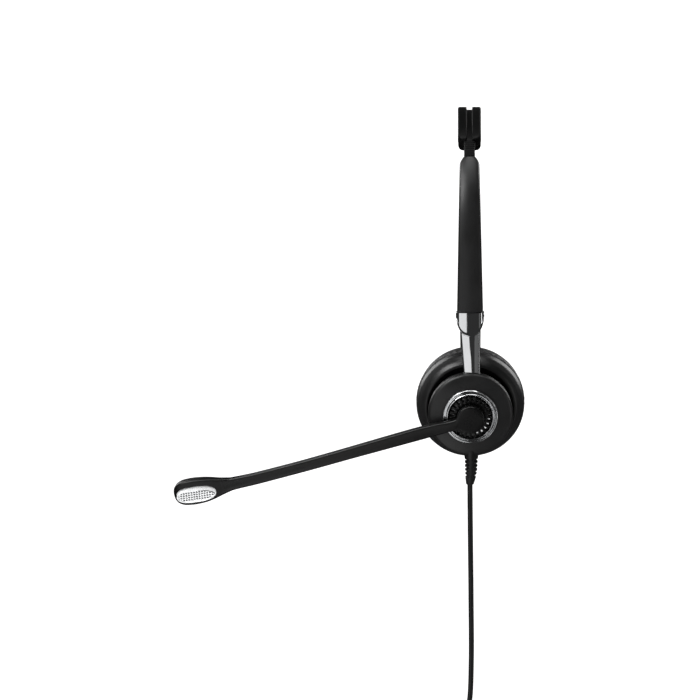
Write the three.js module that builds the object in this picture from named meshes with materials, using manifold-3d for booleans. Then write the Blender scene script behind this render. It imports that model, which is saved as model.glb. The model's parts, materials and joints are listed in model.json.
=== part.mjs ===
// Office headset: a sprung band over the head, two ear cups on sliding arms, a turning boom
// microphone on the left cup and a cord with a quick-release connector.
// Millimetres. +Z is up, -X is the wearer's front and -Y is the wearer's left.
// The origin is the middle of the crown pad's underside, where the head carries the headset.
import * as THREE from 'three';
import { mergeVertices } from 'three/addons/utils/BufferGeometryUtils.js';
import Module from 'manifold-3d';

const wasm = await Module();
wasm.setup();

// ---------- driving dimensions ----------
const gap = 0.3;              // between neighbouring pieces
const roundSides = 24;        // facets of the large turned pieces
const smallSides = 10;        // facets of pins and screws

const bandRadius = 68;        // middle of the spring strip over the crown
const bandHeight = 3;         // middle of the strip above the pad's underside
const padSpan = 41.6;         // degrees from the crown to the pad's end
const padWidth = 11.9;
const padTop = 2.5;           // pad surface above the middle of the strip
const neckWidth = 5.5;
const neckThickness = 2.2;
const neckEnd = 51.8;         // degrees from the crown to the arm's top
const flexAt = 46.7;          // degrees from the crown to the bending place in the neck
const stripWidth = 3.8;
const stripThickness = 0.8;

const armBendRadius = 60;     // the arm curves down from the neck on this radius
const leanAngle = 10;         // degrees by which the lower arm leans in towards the head
const armLength = 80.4;       // along its middle line
const armTopWidth = 10.1;
const armBottomWidth = 13.2;
const armThickness = 6.8;
const armWall = 0.8;
const sleeveWidth = 13.8;
const sleeveLength = 12.3;    // to the tip of the scalloped end

const sliderStraight = 14;    // from the arm's end to where the slider turns in further
const sliderTurnLength = 12;
const cupLean = 15;           // degrees by which the ear cup's face leans
const puckBelowTurn = 26.9;   // from the end of the turn to the middle of the housing
const sliderDepth = 5.6;      // slider's middle in front of the cup's reference plane
const tongueWidth = 8.2;
const tongueLength = 30;      // inside the arm at rest
const sliderWidth = 11.1;
const sliderFootWidth = 8.9;
const sliderThickness = 3;

const puckRadius = 21.5;
const gimbalPlane = -2;       // height of the gimbal's pins
const gimbalReach = 13;       // from the middle to the pins' outer bearings
const cushionRadius = 28.1;
const hubRadius = 7.1;
const earRise = 0.4;          // ear piece's middle above the housing's
const teeth = 24;

const reliefDepth = 6.9;      // strain relief's middle in front of the cup's reference plane
const reliefEnd = -37.2;      // its tip below the middle of the cup
const cordDiameter = 2.7;
const cordDrop = 116;         // free hanging run above the hank
const hankLength = 48;
const hankWidth = 19.4;
const hankThickness = 11.6;
const tailLength = 17;

// ---------- finishes ----------
const finishes = {
  softBlack: { color: 0x2b2b2d, roughness: 0.62, metalness: 0 },
  satinBlack: { color: 0x1b1b1d, roughness: 0.45, metalness: 0 },
  rubber: { color: 0x0d0d0e, roughness: 0.85, metalness: 0 },
  leather: { color: 0x19191a, roughness: 0.55, metalness: 0 },
  chrome: { color: 0xdcdee0, roughness: 0.08, metalness: 1 },
  steel: { color: 0x9a9da1, roughness: 0.35, metalness: 1 },
  nylon: { color: 0x3a3c40, roughness: 0.6, metalness: 0 },
  board: { color: 0x14502c, roughness: 0.5, metalness: 0 },
  magnet: { color: 0x55585c, roughness: 0.3, metalness: 1 },
  film: { color: 0xb9b2a2, roughness: 0.3, metalness: 0 },
  brass: { color: 0xb08d45, roughness: 0.3, metalness: 1 },
};

const headset = new THREE.Group();

function part(parent, name, geometry, finish) {
  const mesh = new THREE.Mesh(geometry, new THREE.MeshStandardMaterial(finishes[finish]));
  mesh.name = name;
  parent.add(mesh);
}

// ---------- shape helpers ----------
const radians = THREE.MathUtils.degToRad;
const vector = (x, y, z) => new THREE.Vector3(x, y, z);

// Merges shared corners, drops empty triangles and turns the faces out.
function closed(geometry) {
  geometry.deleteAttribute('normal');
  geometry.deleteAttribute('uv');
  const merged = mergeVertices(geometry, 1e-4);
  const position = merged.attributes.position;
  const corner = (i) => vector(0, 0, 0).fromBufferAttribute(position, i);
  const faces = [];
  let volume = 0;
  for (let i = 0; i < merged.index.count; i += 3) {
    const [a, b, c] = [0, 1, 2].map((k) => merged.index.getX(i + k));
    if (a === b || b === c || c === a) continue;
    faces.push([a, b, c]);
    volume += corner(a).dot(corner(b).cross(corner(c)));
  }
  merged.setIndex(faces.flatMap(([a, b, c]) => (volume > 0 ? [a, b, c] : [a, c, b])));
  return merged;
}

function solid(geometry) {
  const merged = closed(geometry);
  return new wasm.Manifold(new wasm.Mesh({
    numProp: 3,
    vertProperties: new Float32Array(merged.attributes.position.array),
    triVerts: new Uint32Array(merged.index.array),
  }));
}

function surface(manifold) {
  const mesh = manifold.getMesh();
  const geometry = new THREE.BufferGeometry();
  geometry.setAttribute('position', new THREE.BufferAttribute(new Float32Array(mesh.vertProperties), 3));
  geometry.setIndex(Array.from(mesh.triVerts));
  return geometry;
}

const cut = (body, ...tools) => surface(
  tools.reduce((left, tool) => left.subtract(solid(tool)), solid(body)),
);
const join = (...bodies) => surface(bodies.map(solid).reduce((left, right) => left.add(right)));

// A turned piece about the local z axis, from [radius, height] points that start and end on the axis.
function turned(profile, sides = roundSides) {
  const points = profile.map(([radius, height]) => new THREE.Vector2(radius, height));
  return closed(new THREE.LatheGeometry(points, sides).rotateX(Math.PI / 2));
}

// A turned ring, whose profile closes on itself.
const turnedRing = (profile, sides = roundSides) => turned([...profile, profile[0]], sides);

function disc(radius, low, high, sides = roundSides) {
  return turned([[0, low], [radius, low], [radius, high], [0, high]], sides);
}

function washer(inner, outer, low, high, sides = roundSides) {
  return turnedRing([[inner, low], [outer, low], [outer, high], [inner, high]], sides);
}

function block(x0, x1, y0, y1, z0, z1) {
  const box = new THREE.BoxGeometry(x1 - x0, y1 - y0, z1 - z0);
  return box.translate((x0 + x1) / 2, (y0 + y1) / 2, (z0 + z1) / 2);
}

function plate(shape, low, high) {
  const options = { depth: high - low, bevelEnabled: false, curveSegments: 5 };
  return new THREE.ExtrudeGeometry(shape, options).translate(0, 0, low);
}

// A round rod between two points.
function rod(from, to, radius, sides = smallSides) {
  const axis = to.clone().sub(from);
  const turn = new THREE.Quaternion().setFromUnitVectors(vector(0, 1, 0), axis.clone().normalize());
  const middle = from.clone().add(to).multiplyScalar(0.5);
  const cylinder = new THREE.CylinderGeometry(radius, radius, axis.length(), sides);
  return cylinder.applyQuaternion(turn).translate(middle.x, middle.y, middle.z);
}

// One skin over equal outlines, each laid in its station's across and outward directions.
function lofted(stations) {
  const flat = stations[0].outline.map(([a, b]) => new THREE.Vector2(a, b));
  const clockwise = THREE.ShapeUtils.area(flat) < 0;
  const points = stations.flatMap(({ at, across, outward, outline }) => {
    const laid = outline.map(([a, b]) => at.clone().addScaledVector(across, a).addScaledVector(outward, b));
    return clockwise ? laid.reverse() : laid;
  });
  const count = flat.length;
  const faces = [];
  for (let i = 0; i < stations.length - 1; i += 1) {
    for (let j = 0; j < count; j += 1) {
      const [p, q] = [i * count + j, i * count + ((j + 1) % count)];
      faces.push([p, q, q + count], [p, q + count, p + count]);
    }
  }
  const last = (stations.length - 1) * count;
  THREE.ShapeUtils.triangulateShape(clockwise ? flat.reverse() : flat, []).forEach(([a, b, c]) => {
    faces.push([a, c, b], [a + last, b + last, c + last]);
  });
  const geometry = new THREE.BufferGeometry().setFromPoints(points);
  geometry.setIndex(faces.flat());
  return closed(geometry);
}

// ---------- outlines, as [across, outward] points ----------
function roundedBox(width, thickness, corner) {
  const [w, t] = [width / 2, thickness / 2];
  return [
    [-w, -t + corner], [-w, t - corner], [-w + corner, t], [w - corner, t],
    [w, t - corner], [w, -t + corner], [w - corner, -t], [-w + corner, -t],
  ];
}

// A shallow trough with a crowned back: side 1 faces away from the head and side -1 towards it.
function trough(width, side) {
  const w = width / 2;
  const back = armThickness / 2;
  const edge = gap / 2;
  return [
    [-w, edge], [-w, back - 1.5], [-w + 0.8, back - 0.5], [-w / 2, back], [w / 2, back],
    [w - 0.8, back - 0.5], [w, back - 1.5], [w, edge], [w - armWall, edge],
    [w - armWall, back - 1.3], [armWall - w, back - 1.3], [armWall - w, edge],
  ].map(([a, b]) => [a, b * side]);
}

function oval(halfAcross, halfOutward, sides = smallSides) {
  return Array.from({ length: sides }, (_, i) => {
    const angle = (2 * Math.PI * i) / sides;
    return [halfAcross * Math.cos(angle), halfOutward * Math.sin(angle)];
  });
}

// ---------- middle lines ----------
// A place on the band, arm and slider is the angle of its outward normal from straight up.
function normalAt(degrees) {
  return vector(0, -Math.sin(radians(degrees)), Math.cos(radians(degrees)));
}

function alongAt(degrees) {
  return vector(0, -Math.cos(radians(degrees)), -Math.sin(radians(degrees)));
}

function crownStation(degrees, outline) {
  const outward = normalAt(degrees);
  const at = vector(0, 0, bandHeight - bandRadius).addScaledVector(outward, bandRadius);
  return { at, across: vector(1, 0, 0), outward, outline };
}

const bendEnd = 90 + leanAngle;
const bendLength = armBendRadius * radians(bendEnd - neckEnd);
const armTop = crownStation(neckEnd).at;
const bendCentre = armTop.clone().addScaledVector(normalAt(neckEnd), -armBendRadius);
const armFoot = bendCentre.clone()
  .addScaledVector(normalAt(bendEnd), armBendRadius)
  .addScaledVector(alongAt(bendEnd), armLength - bendLength);

// A station on the arm's middle line, by distance from its top.
function armStation(distance, outline) {
  const degrees = Math.min(neckEnd + THREE.MathUtils.radToDeg(distance / armBendRadius), bendEnd);
  const at = bendCentre.clone().addScaledVector(normalAt(degrees), armBendRadius);
  at.addScaledVector(alongAt(bendEnd), Math.max(distance - bendLength, 0));
  return { at, across: vector(1, 0, 0), outward: normalAt(degrees), outline };
}

// A station on the slider's middle line, by distance below the arm's end.
function sliderStation(distance, outline) {
  const turnRadius = sliderTurnLength / radians(cupLean - leanAngle);
  const turned = THREE.MathUtils.clamp(distance - sliderStraight, 0, sliderTurnLength);
  const degrees = bendEnd + THREE.MathUtils.radToDeg(turned / turnRadius);
  const centre = armFoot.clone()
    .addScaledVector(alongAt(bendEnd), sliderStraight)
    .addScaledVector(normalAt(bendEnd), -turnRadius);
  const at = centre.addScaledVector(normalAt(degrees), turnRadius);
  at.addScaledVector(alongAt(bendEnd), Math.min(distance - sliderStraight, 0));
  at.addScaledVector(alongAt(90 + cupLean), Math.max(distance - sliderStraight - sliderTurnLength, 0));
  return { at, across: vector(1, 0, 0), outward: normalAt(degrees), outline };
}

// The cup's own frame: x across, y up along the face and z out of it.
const puckMiddle = sliderStraight + sliderTurnLength + puckBelowTurn;
const cupCentre = sliderStation(puckMiddle).at.addScaledVector(normalAt(90 + cupLean), -sliderDepth);
const cupFrame = new THREE.Matrix4()
  .makeBasis(vector(1, 0, 0), alongAt(90 + cupLean).negate(), normalAt(90 + cupLean))
  .setPosition(cupCentre);

// ---------- crown ----------
function spread(from, to, steps) {
  return Array.from({ length: steps + 1 }, (_, i) => from + ((to - from) * i) / steps);
}

function buildCrown() {
  const w = padWidth / 2;
  const groove = 1.4;
  const top = [
    [-w, 0.15], [-w, padTop - 0.7], [-w + 0.7, padTop], [-groove, padTop], [-groove, padTop - 1.3],
    [groove, padTop - 1.3], [groove, padTop], [w - 0.7, padTop], [w, padTop - 0.7], [w, 0.15],
    [stripWidth / 2 + gap, 0.15], [stripWidth / 2 + gap, 0.7], [-stripWidth / 2 - gap, 0.7],
    [-stripWidth / 2 - gap, 0.15],
  ];
  const taper = (outline, share) => outline.map(([a, b]) => [a * share, b]);
  const padAngles = [-padSpan, -padSpan + 1.2, ...spread(-38, 38, 10), padSpan - 1.2, padSpan];
  const narrow = (degrees) => (Math.abs(degrees) === padSpan ? 0.9 : 1);
  part(headset, 'crown_pad_top', lofted(
    padAngles.map((degrees) => crownStation(degrees, taper(top, narrow(degrees)))),
  ), 'rubber');

  const low = -bandHeight;
  const lower = [
    [-w, -0.15], [-stripWidth / 2 - gap, -0.15], [-stripWidth / 2 - gap, -1.9],
    [stripWidth / 2 + gap, -1.9], [stripWidth / 2 + gap, -0.15], [w, -0.15], [w, low + 0.6],
    [w - 0.7, low], [-w + 0.7, low], [-w, low + 0.6],
  ];
  part(headset, 'crown_pad_underside', lofted(
    padAngles.map((degrees) => crownStation(degrees, taper(lower, narrow(degrees)))),
  ), 'rubber');

  const strip = roundedBox(stripWidth, stripThickness, 0.2);
  const neck = roundedBox(neckWidth, neckThickness, 0.5);
  const neckStart = padSpan + 0.4;
  const neckStop = flexAt - 0.3;
  const stripEnd = padSpan + 0.2;
  const angles = [-neckStop, -neckStart, -stripEnd, ...spread(-39, 39, 10), stripEnd, neckStart, neckStop];
  part(headset, 'spring_band', lofted(angles.map(
    (degrees) => crownStation(degrees, Math.abs(degrees) >= neckStart ? neck : strip),
  )), 'steel');

  const lead = oval(0.5, 0.4, 8).map(([a, b]) => [a, b - 1.3]);
  part(headset, 'headband_lead', lofted(
    spread(-40, 40, 14).map((degrees) => crownStation(degrees, lead)),
  ), 'rubber');
}

// ---------- arm ----------
const armShoulder = 3.5;      // length of the rounded shoulder below the neck

function armWidthAt(distance) {
  if (distance < armShoulder) {
    const rise = (distance / armShoulder) ** 0.7;
    return THREE.MathUtils.lerp(neckWidth + 0.2, armTopWidth, rise);
  }
  const share = (distance - armShoulder) / (armLength - armShoulder);
  return THREE.MathUtils.lerp(armTopWidth, armBottomWidth, share);
}

const armScrewPlace = 31;     // down the arm

// Puts a piece built with x across, y down the arm and z outward at a distance down the arm.
function onArm(geometry, distance) {
  const { at, outward } = armStation(distance);
  const across = vector(-1, 0, 0);
  const down = outward.clone().cross(across);
  return geometry.applyMatrix4(new THREE.Matrix4().makeBasis(across, down, outward).setPosition(at));
}

function buildArm(side, group) {
  const distances = [0, 1.6, armShoulder, ...spread(9, bendLength, 9), armLength];
  const shell = (facing) => lofted(
    distances.map((distance) => armStation(distance, trough(armWidthAt(distance), facing))),
  );
  const wallInside = armThickness / 2 - 1.3;
  const boss = onArm(disc(1.9, 0.6, wallInside + 0.4, smallSides), armScrewPlace);
  const thread = onArm(disc(1, 0.5, wallInside + 0.1, smallSides), armScrewPlace);
  part(group, `${side}_arm_outer_cover`, cut(join(shell(1), boss), thread), 'softBlack');

  const hole = onArm(disc(1.1, -4, 0, smallSides), armScrewPlace);
  const headRoom = onArm(disc(2.1, -4, -wallInside - 0.6, smallSides), armScrewPlace);
  part(group, `${side}_arm_inner_cover`, cut(shell(-1), hole, headRoom), 'softBlack');

  part(group, `${side}_arm_screw`, onArm(turned([
    [0, -3.3], [1.7, -3.3], [1.7, -wallInside - 0.95], [0.7, -wallInside - 0.95], [0.7, 1.5], [0, 1.7],
  ], smallSides), armScrewPlace), 'steel');

  const strip = roundedBox(stripWidth, stripThickness, 0.2);
  const neck = roundedBox(neckWidth, neckThickness, 0.5);
  const neckAngles = [flexAt + 0.3, neckEnd - 0.3];
  part(group, `${side}_band_end`, lofted([
    ...neckAngles.map((degrees) => crownStation(degrees, neck)),
    crownStation(neckEnd - 0.1, strip),
    ...spread(3, 15, 4).map((distance) => armStation(distance, strip)),
  ]), 'steel');

  const halfBore = [tongueWidth / 2 + gap, 1.2 + gap];
  const liner = [
    [-4.8, -1.2], [-4.8, 1.85], [4.8, 1.85], [4.8, -1.2], [halfBore[0], -1.2],
    [halfBore[0], halfBore[1]], [-halfBore[0], halfBore[1]], [-halfBore[0], -1.2],
  ];
  part(group, `${side}_slider_guide`, lofted(
    spread(armLength - 27, armLength - 1, 2).map((distance) => armStation(distance, liner)),
  ), 'nylon');

  // The sleeve is a tube whose lower edge runs to a rounded tongue on each face.
  const sleeveSkin = (width, thickness, corner, start, length) => lofted(
    [start, start + length].map((y) => ({
      at: vector(0, y, 0),
      across: vector(1, 0, 0),
      outward: vector(0, 0, 1),
      outline: roundedBox(width, thickness, corner),
    })),
  );
  const half = sleeveWidth / 2 + 0.1;
  const tongue = new THREE.Shape();
  tongue.moveTo(-half, 0);
  tongue.lineTo(half, 0);
  tongue.lineTo(half, 1.2);
  tongue.absellipse(0, 1.2, half, sleeveLength - 1.2, 0, Math.PI, false, 0);
  const tube = solid(sleeveSkin(sleeveWidth, armThickness + 0.6, 1.6, gap, sleeveLength))
    .subtract(solid(sleeveSkin(sliderWidth + 0.8, sliderThickness + 0.9, 1, -1, sleeveLength + 5)));
  const options = { depth: 12, bevelEnabled: false, curveSegments: 8 };
  const scalloped = tube.intersect(solid(
    new THREE.ExtrudeGeometry(tongue, options).translate(0, 0, -6),
  ));
  part(group, `${side}_arm_sleeve`, onArm(surface(scalloped), armLength), 'chrome');
}

// ---------- slider and housing ----------
function buildSlider(side, group) {
  const shoulder = 6.3;
  const foot = puckMiddle - puckRadius;
  const outlineAt = (distance) => {
    if (distance < shoulder) return roundedBox(tongueWidth, 2.4, 0.4);
    const share = THREE.MathUtils.clamp((distance - shoulder) / (foot - shoulder), 0, 1);
    const width = THREE.MathUtils.lerp(sliderWidth, sliderFootWidth, share);
    return roundedBox(width, sliderThickness, 0.9).map(([a, b]) => [a + 0.8 * share, b]);
  };
  const distances = [
    -tongueLength, shoulder - 0.05, shoulder, sliderStraight,
    ...spread(sliderStraight + 3, sliderStraight + sliderTurnLength, 3), foot, puckMiddle - 13,
  ];
  part(group, `${side}_slider`, lofted(
    distances.map((distance) => sliderStation(distance, outlineAt(distance))),
  ), 'chrome');
}

const screwPlaces = { front: 180, back: 0 };   // degrees round the housing
const screwAt = (degrees) => [17 * Math.cos(radians(degrees)), 17 * Math.sin(radians(degrees))];

// The strain relief's stations down the cup, grown by a clearance all round.
function reliefStations(clearance = 0) {
  return [
    [-17, 0.5, 5, 3.9], [-20.4, 0.4, 3.9, 3.5], [-23.5, 0.35, 3.3, 2.9], [-30, 0.3, 3.1, 2.8],
    [-33.5, 0, 2.7, 2.5], [-35.6, -0.2, 2.3, 2.1], [reliefEnd, -0.35, 1.95, 1.9],
  ].map(([y, x, halfAcross, halfOut]) => ({
    at: vector(x, y === -17 ? y + clearance : y, reliefDepth),
    across: vector(1, 0, 0),
    outward: vector(0, 0, 1),
    outline: oval(halfAcross + clearance, halfOut + clearance, 14),
  }));
}

function buildHousing(side, group) {
  const hasBoom = side === 'left';
  const slot = block(-4.1, 5.8, 12, 24, sliderDepth - 1.85, sliderDepth + 1.85);
  const reliefRoom = hasBoom ? [lofted(reliefStations(gap))] : [];

  const rear = turned([
    [0, 2.2], [19.6, 2.2], [21.4, 3.8], [puckRadius, 8], [20, 8], [19.6, 3.9], [19.2, 3.5], [0, 3.5],
  ]);
  const post = (sign) => block(-1.8, 1.8, sign * gimbalReach - 0.9, sign * gimbalReach + 0.9, -3.5, 2.4);
  const pinHole = rod(vector(0, -20, gimbalPlane), vector(0, 20, gimbalPlane), 1.1);
  const places = Object.values(screwPlaces).map(screwAt);
  const screwHoles = places.map(([x, y]) => disc(1.2, 1, 4.5, smallSides).translate(x, y, 0));
  const rearBody = join(rear, post(1), post(-1));
  const rearRoom = [slot, pinHole, ...screwHoles, ...reliefRoom];
  part(group, `${side}_housing_rear_shell`, cut(rearBody, ...rearRoom), 'satinBlack');

  const front = turnedRing([
    [5.3, 10], [14, 9.9], [18.4, 9.1], [19.9, 8.3], [puckRadius, 8.3], [21.35, 9], [20.4, 9.9],
    [18, 10.7], [14.5, 11.4], [5.3, 11.4],
  ]);
  const boss = places.map(([x, y]) => disc(2, 6.5, 9.7, smallSides).translate(x, y, 0));
  const bossHoles = places.map(([x, y]) => disc(1, 6, 9.2, smallSides).translate(x, y, 0));
  const frontRoom = [...bossHoles, ...reliefRoom];
  part(group, `${side}_housing_front_shell`, cut(join(front, ...boss), ...frontRoom), 'softBlack');

  Object.entries(screwPlaces).forEach(([name, degrees]) => {
    const [x, y] = screwAt(degrees);
    part(group, `${side}_housing_screw_${name}`, turned([
      [0, 1.1], [1.9, 1.1], [1.9, 1.9], [0.7, 1.9], [0.7, 8.6], [0, 8.8],
    ], smallSides).translate(x, y, 0), 'steel');
  });

  part(group, `${side}_chrome_ring`, turnedRing([
    [5.4, 11.7], [5.4, 12.1], [11.1, 12.1], [11.6, 13.4], [12, 13.9], [12.5, 13.2], [12.9, 12.7],
    [13.3, 13.1], [14.1, 12.3], [14.1, 11.7],
  ]), 'chrome');
}

// A ring with four trunnions: two turn in the housing's posts and two in the ear plate's lugs.
function buildGimbal(side, group) {
  const trunnions = [0, 90, 180, 270].map((degrees) => {
    const out = vector(Math.cos(radians(degrees)), Math.sin(radians(degrees)), 0);
    const inner = out.clone().multiplyScalar(9).setZ(gimbalPlane);
    return rod(inner, out.clone().multiplyScalar(gimbalReach + 1.2).setZ(gimbalPlane), 0.8);
  });
  part(group, `${side}_gimbal`, join(washer(8.4, 11.2, -3.6, -0.4), ...trunnions), 'nylon');
}

// ---------- ear piece ----------
function buildEar(side, group) {
  const raised = (geometry) => geometry.translate(0, earRise, 0);
  const dish = turned([
    [0, -7.1], [16.2, -7.1], [25.2, -10.2], [25.6, -11.5], [27.4, -11.5], [27.6, -9.6], [26.7, -6.2],
    [25, -3.2], [23, -1.3], [21.8, -1.2], [20.8, -2], [19.8, -6.1], [0, -6.1],
  ]);
  const lug = (sign) => block(sign * gimbalReach - 0.9, sign * gimbalReach + 0.9, -1.8, 1.8, -6.3, -0.6);
  const pinHole = rod(vector(-18, 0, gimbalPlane), vector(18, 0, gimbalPlane), 1.1);
  part(group, `${side}_ear_plate`, cut(join(raised(dish), lug(1), lug(-1)), pinHole), 'softBlack');

  part(group, `${side}_driver_basket`, raised(turned([
    [0, -8.2], [13.9, -8.2], [13.9, -10.2], [14.8, -10.2], [14.8, -7.4], [0, -7.4],
  ])), 'satinBlack');
  part(group, `${side}_driver_magnet`, raised(disc(7, -9.6, -8.5, 24)), 'magnet');
  part(group, `${side}_driver_diaphragm`, raised(turned([
    [0, -10.3], [6, -10.15], [13.5, -10.3], [13.5, -10.05], [6, -9.9], [0, -10],
  ])), 'film');

  const places = [[0, 0]];
  const soundRing = 5.6;      // radius of the six outer sound holes' centres
  [0, 60, 120, 180, 240, 300].map(radians).forEach((angle) => {
    places.push([soundRing * Math.cos(angle), soundRing * Math.sin(angle)]);
  });
  const holes = places.map(([x, y]) => disc(1.6, -12, -10, 6).translate(x, y, 0));
  part(group, `${side}_driver_baffle`, raised(cut(disc(24.3, -11.4, -10.6), ...holes)), 'satinBlack');

  part(group, `${side}_ear_cushion`, raised(turnedRing([
    [9.6, -11.9], [9.6, -19.5], [11, -22.6], [14.5, -24.3], [20, -24.3], [25.4, -22.4],
    [27.6, -18.5], [cushionRadius, -15], [27.5, -11.9],
  ])), 'leather');
}

// ---------- boom and its bearing, left cup only ----------
function buildBearing(group) {
  part(group, 'boom_bush', turnedRing([
    [3.3, 9.7], [4.95, 9.7], [4.95, 12.5], [6.2, 12.5], [6.2, 13], [3.3, 13],
  ], 24), 'nylon');

  const pitch = (2 * Math.PI) / teeth;
  const outline = new THREE.Shape();
  for (let i = 0; i < teeth; i += 1) {
    [[-0.28, 8.9], [-0.2, 10.9], [0.2, 10.9], [0.28, 8.9]].forEach(([share, radius]) => {
      const angle = (i + share) * pitch;
      const [x, y] = [radius * Math.cos(angle), radius * Math.sin(angle)];
      if (i === 0 && share === -0.28) outline.moveTo(x, y);
      else outline.lineTo(x, y);
    });
  }
  const bore = new THREE.Path();
  bore.absarc(0, 0, 6.6, 0, 2 * Math.PI, true);
  outline.holes.push(bore);
  part(group, 'detent_ring', closed(plate(outline, 12.4, 13.9)), 'satinBlack');

  part(group, 'friction_washer', washer(3.4, 5.8, 9.25, 9.6, 24), 'steel');
  const board = new THREE.Shape();
  board.absarc(0, 0, 15.5, radians(145), radians(395), false);
  part(group, 'circuit_board', closed(plate(board, 4.3, 5.3)), 'board');
  part(group, 'strain_relief', lofted(reliefStations()), 'rubber');
}

// The boom's middle line in the cup's frame, from the hub to the tip.
const boomPath = new THREE.CatmullRomCurve3([
  vector(-1.5, -3, 16.9), vector(-8, -3.1, 16.9), vector(-15.1, -4.6, 16.8),
  vector(-24, -7, 16.6), vector(-35, -10.2, 16.3), vector(-59.1, -17.5, 15.2),
  vector(-82.8, -24.9, 13.4), vector(-106.5, -32.0, 11.1), vector(-118.4, -35.2, 9.8),
  vector(-134.7, -39.3, 8), vector(-151.1, -42.3, 6.1),
]);

// [share of the length, half width, half thickness]
const boomSections = [
  [0, 2.5, 2.2], [0.05, 2.6, 2.2], [0.1, 2.95, 2.2], [0.17, 3.2, 2.1], [0.25, 3.15, 2.05],
  [0.42, 2.95, 2], [0.58, 2.9, 1.95], [0.74, 3, 1.95], [0.802, 3.2, 2], [0.841, 4.3, 2.4],
  [0.872, 5.5, 2.9], [0.903, 6.25, 3.2], [0.933, 6.5, 3.3], [0.963, 6.2, 3.2], [0.984, 5.1, 2.8],
  [0.995, 3.5, 2.1], [1, 1.2, 1],
];

function boomFrame(share) {
  const at = boomPath.getPointAt(share);
  const along = boomPath.getTangentAt(share);
  const across = vector(0, 0, 1).cross(along).normalize();
  return { at, along, across, outward: along.clone().cross(across) };
}

// The microphone's opening: a long round-ended leaf, blunter towards the boom's tip, laid along
// local x. Its half width falls off from the middle as a superellipse with its own powers at each end.
const leafTip = 9.3;
const leafTail = -11.4;
const leafHalf = 4.1;
const leafShift = 1.15;       // across, towards the boom's lower edge

function leaf(grow) {
  const middle = (leafTip + leafTail) / 2;
  const reach = (leafTip - leafTail) / 2;
  const halfAt = (share) => {
    const [power, root] = share > 0 ? [3, 0.35] : [2.2, 0.45];
    return leafHalf * (1 - Math.abs(share) ** power) ** root;
  };
  const steps = 9;
  const shares = spread(0, Math.PI, steps).map((angle) => -Math.cos(angle));
  const upper = shares.map((share) => [middle + (reach + grow) * share, leafShift + halfAt(share) + grow]);
  const lower = shares.slice(1, -1).reverse()
    .map((share) => [middle + (reach + grow) * share, leafShift - halfAt(share) - grow]);
  const ends = [...upper, ...lower].map(([x, y]) => new THREE.Vector2(x, y));
  return new THREE.Shape(ends);
}

function buildBoom(group) {
  const half = (share, column) => {
    const after = boomSections.findIndex(([place]) => place >= share);
    if (after <= 0) return boomSections[0][column];
    const [low, high] = [boomSections[after - 1], boomSections[after]];
    return THREE.MathUtils.mapLinear(share, low[0], high[0], low[column], high[column]);
  };
  const shares = [...new Set([...spread(0, 0.78, 12), ...boomSections.map(([share]) => share)])]
    .sort((a, b) => a - b);
  // An oval pushed out towards its bounding box.
  const squared = (a, b) => oval(a, b, 10).map(([x, y]) => {
    const push = Math.min(1.12, 1 / Math.max(Math.abs(x / a), Math.abs(y / b)));
    return [x * push, y * push];
  });
  const rodSkin = lofted(shares.map((share) => ({
    ...boomFrame(share), outline: squared(half(share, 1), half(share, 2)),
  })));
  const hub = turned([
    [0, 14.4], [hubRadius - 0.7, 14.4], [hubRadius, 15], [hubRadius, 17.5], [hubRadius - 0.6, 18.7],
    [hubRadius - 2.2, 19.3], [0, 19.4],
  ]);

  // The head's frame: x towards the tip and z out of its outer face.
  const { at, along, across, outward } = boomFrame(0.93);
  const head = new THREE.Matrix4().makeBasis(along, across, outward).setPosition(at);
  const onHead = (geometry) => geometry.applyMatrix4(head);
  const pocket = (low, high) => onHead(plate(leaf(gap), low, high));
  const capsuleRoom = onHead(disc(3.3, -2.5, 2.5, 16));
  const shaftRoom = disc(1.5, 8, 17, smallSides);
  const body = join(rodSkin, hub);
  part(group, 'boom', cut(body, pocket(1.9, 5), pocket(-5, -1.9), capsuleRoom, shaftRoom), 'satinBlack');

  part(group, 'boom_shaft', cut(disc(3, 8.2, 14.1, 20), disc(1.5, 7, 15, smallSides)), 'steel');
  part(group, 'boom_retaining_clip', washer(3.3, 5.4, 8.5, 8.95, 20), 'steel');
  const holes = [];
  for (let column = -1; column <= 1; column += 1) {
    for (let row = -1; row <= 1; row += 1) {
      holes.push(disc(0.6, -5, 5, 6).translate(2 + 2.6 * column + 0.6 * row, 2 * row, 0));
    }
  }
  const grille = (low, high) => onHead(cut(plate(leaf(0), low, high), ...holes));
  part(group, 'mic_grille_outer', grille(2.2, 3.1), 'chrome');
  part(group, 'mic_grille_inner', grille(-3.1, -2.2), 'chrome');
  part(group, 'mic_capsule', onHead(disc(3, -1.6, 1.6, 16)), 'brass');
}

// ---------- cord ----------
function roundEnded(width, length) {
  const radius = width / 2;
  const shape = new THREE.Shape();
  shape.absarc(0, length - radius, radius, 0, Math.PI, false);
  shape.absarc(0, radius, radius, Math.PI, 2 * Math.PI, false);
  return shape;
}

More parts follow.
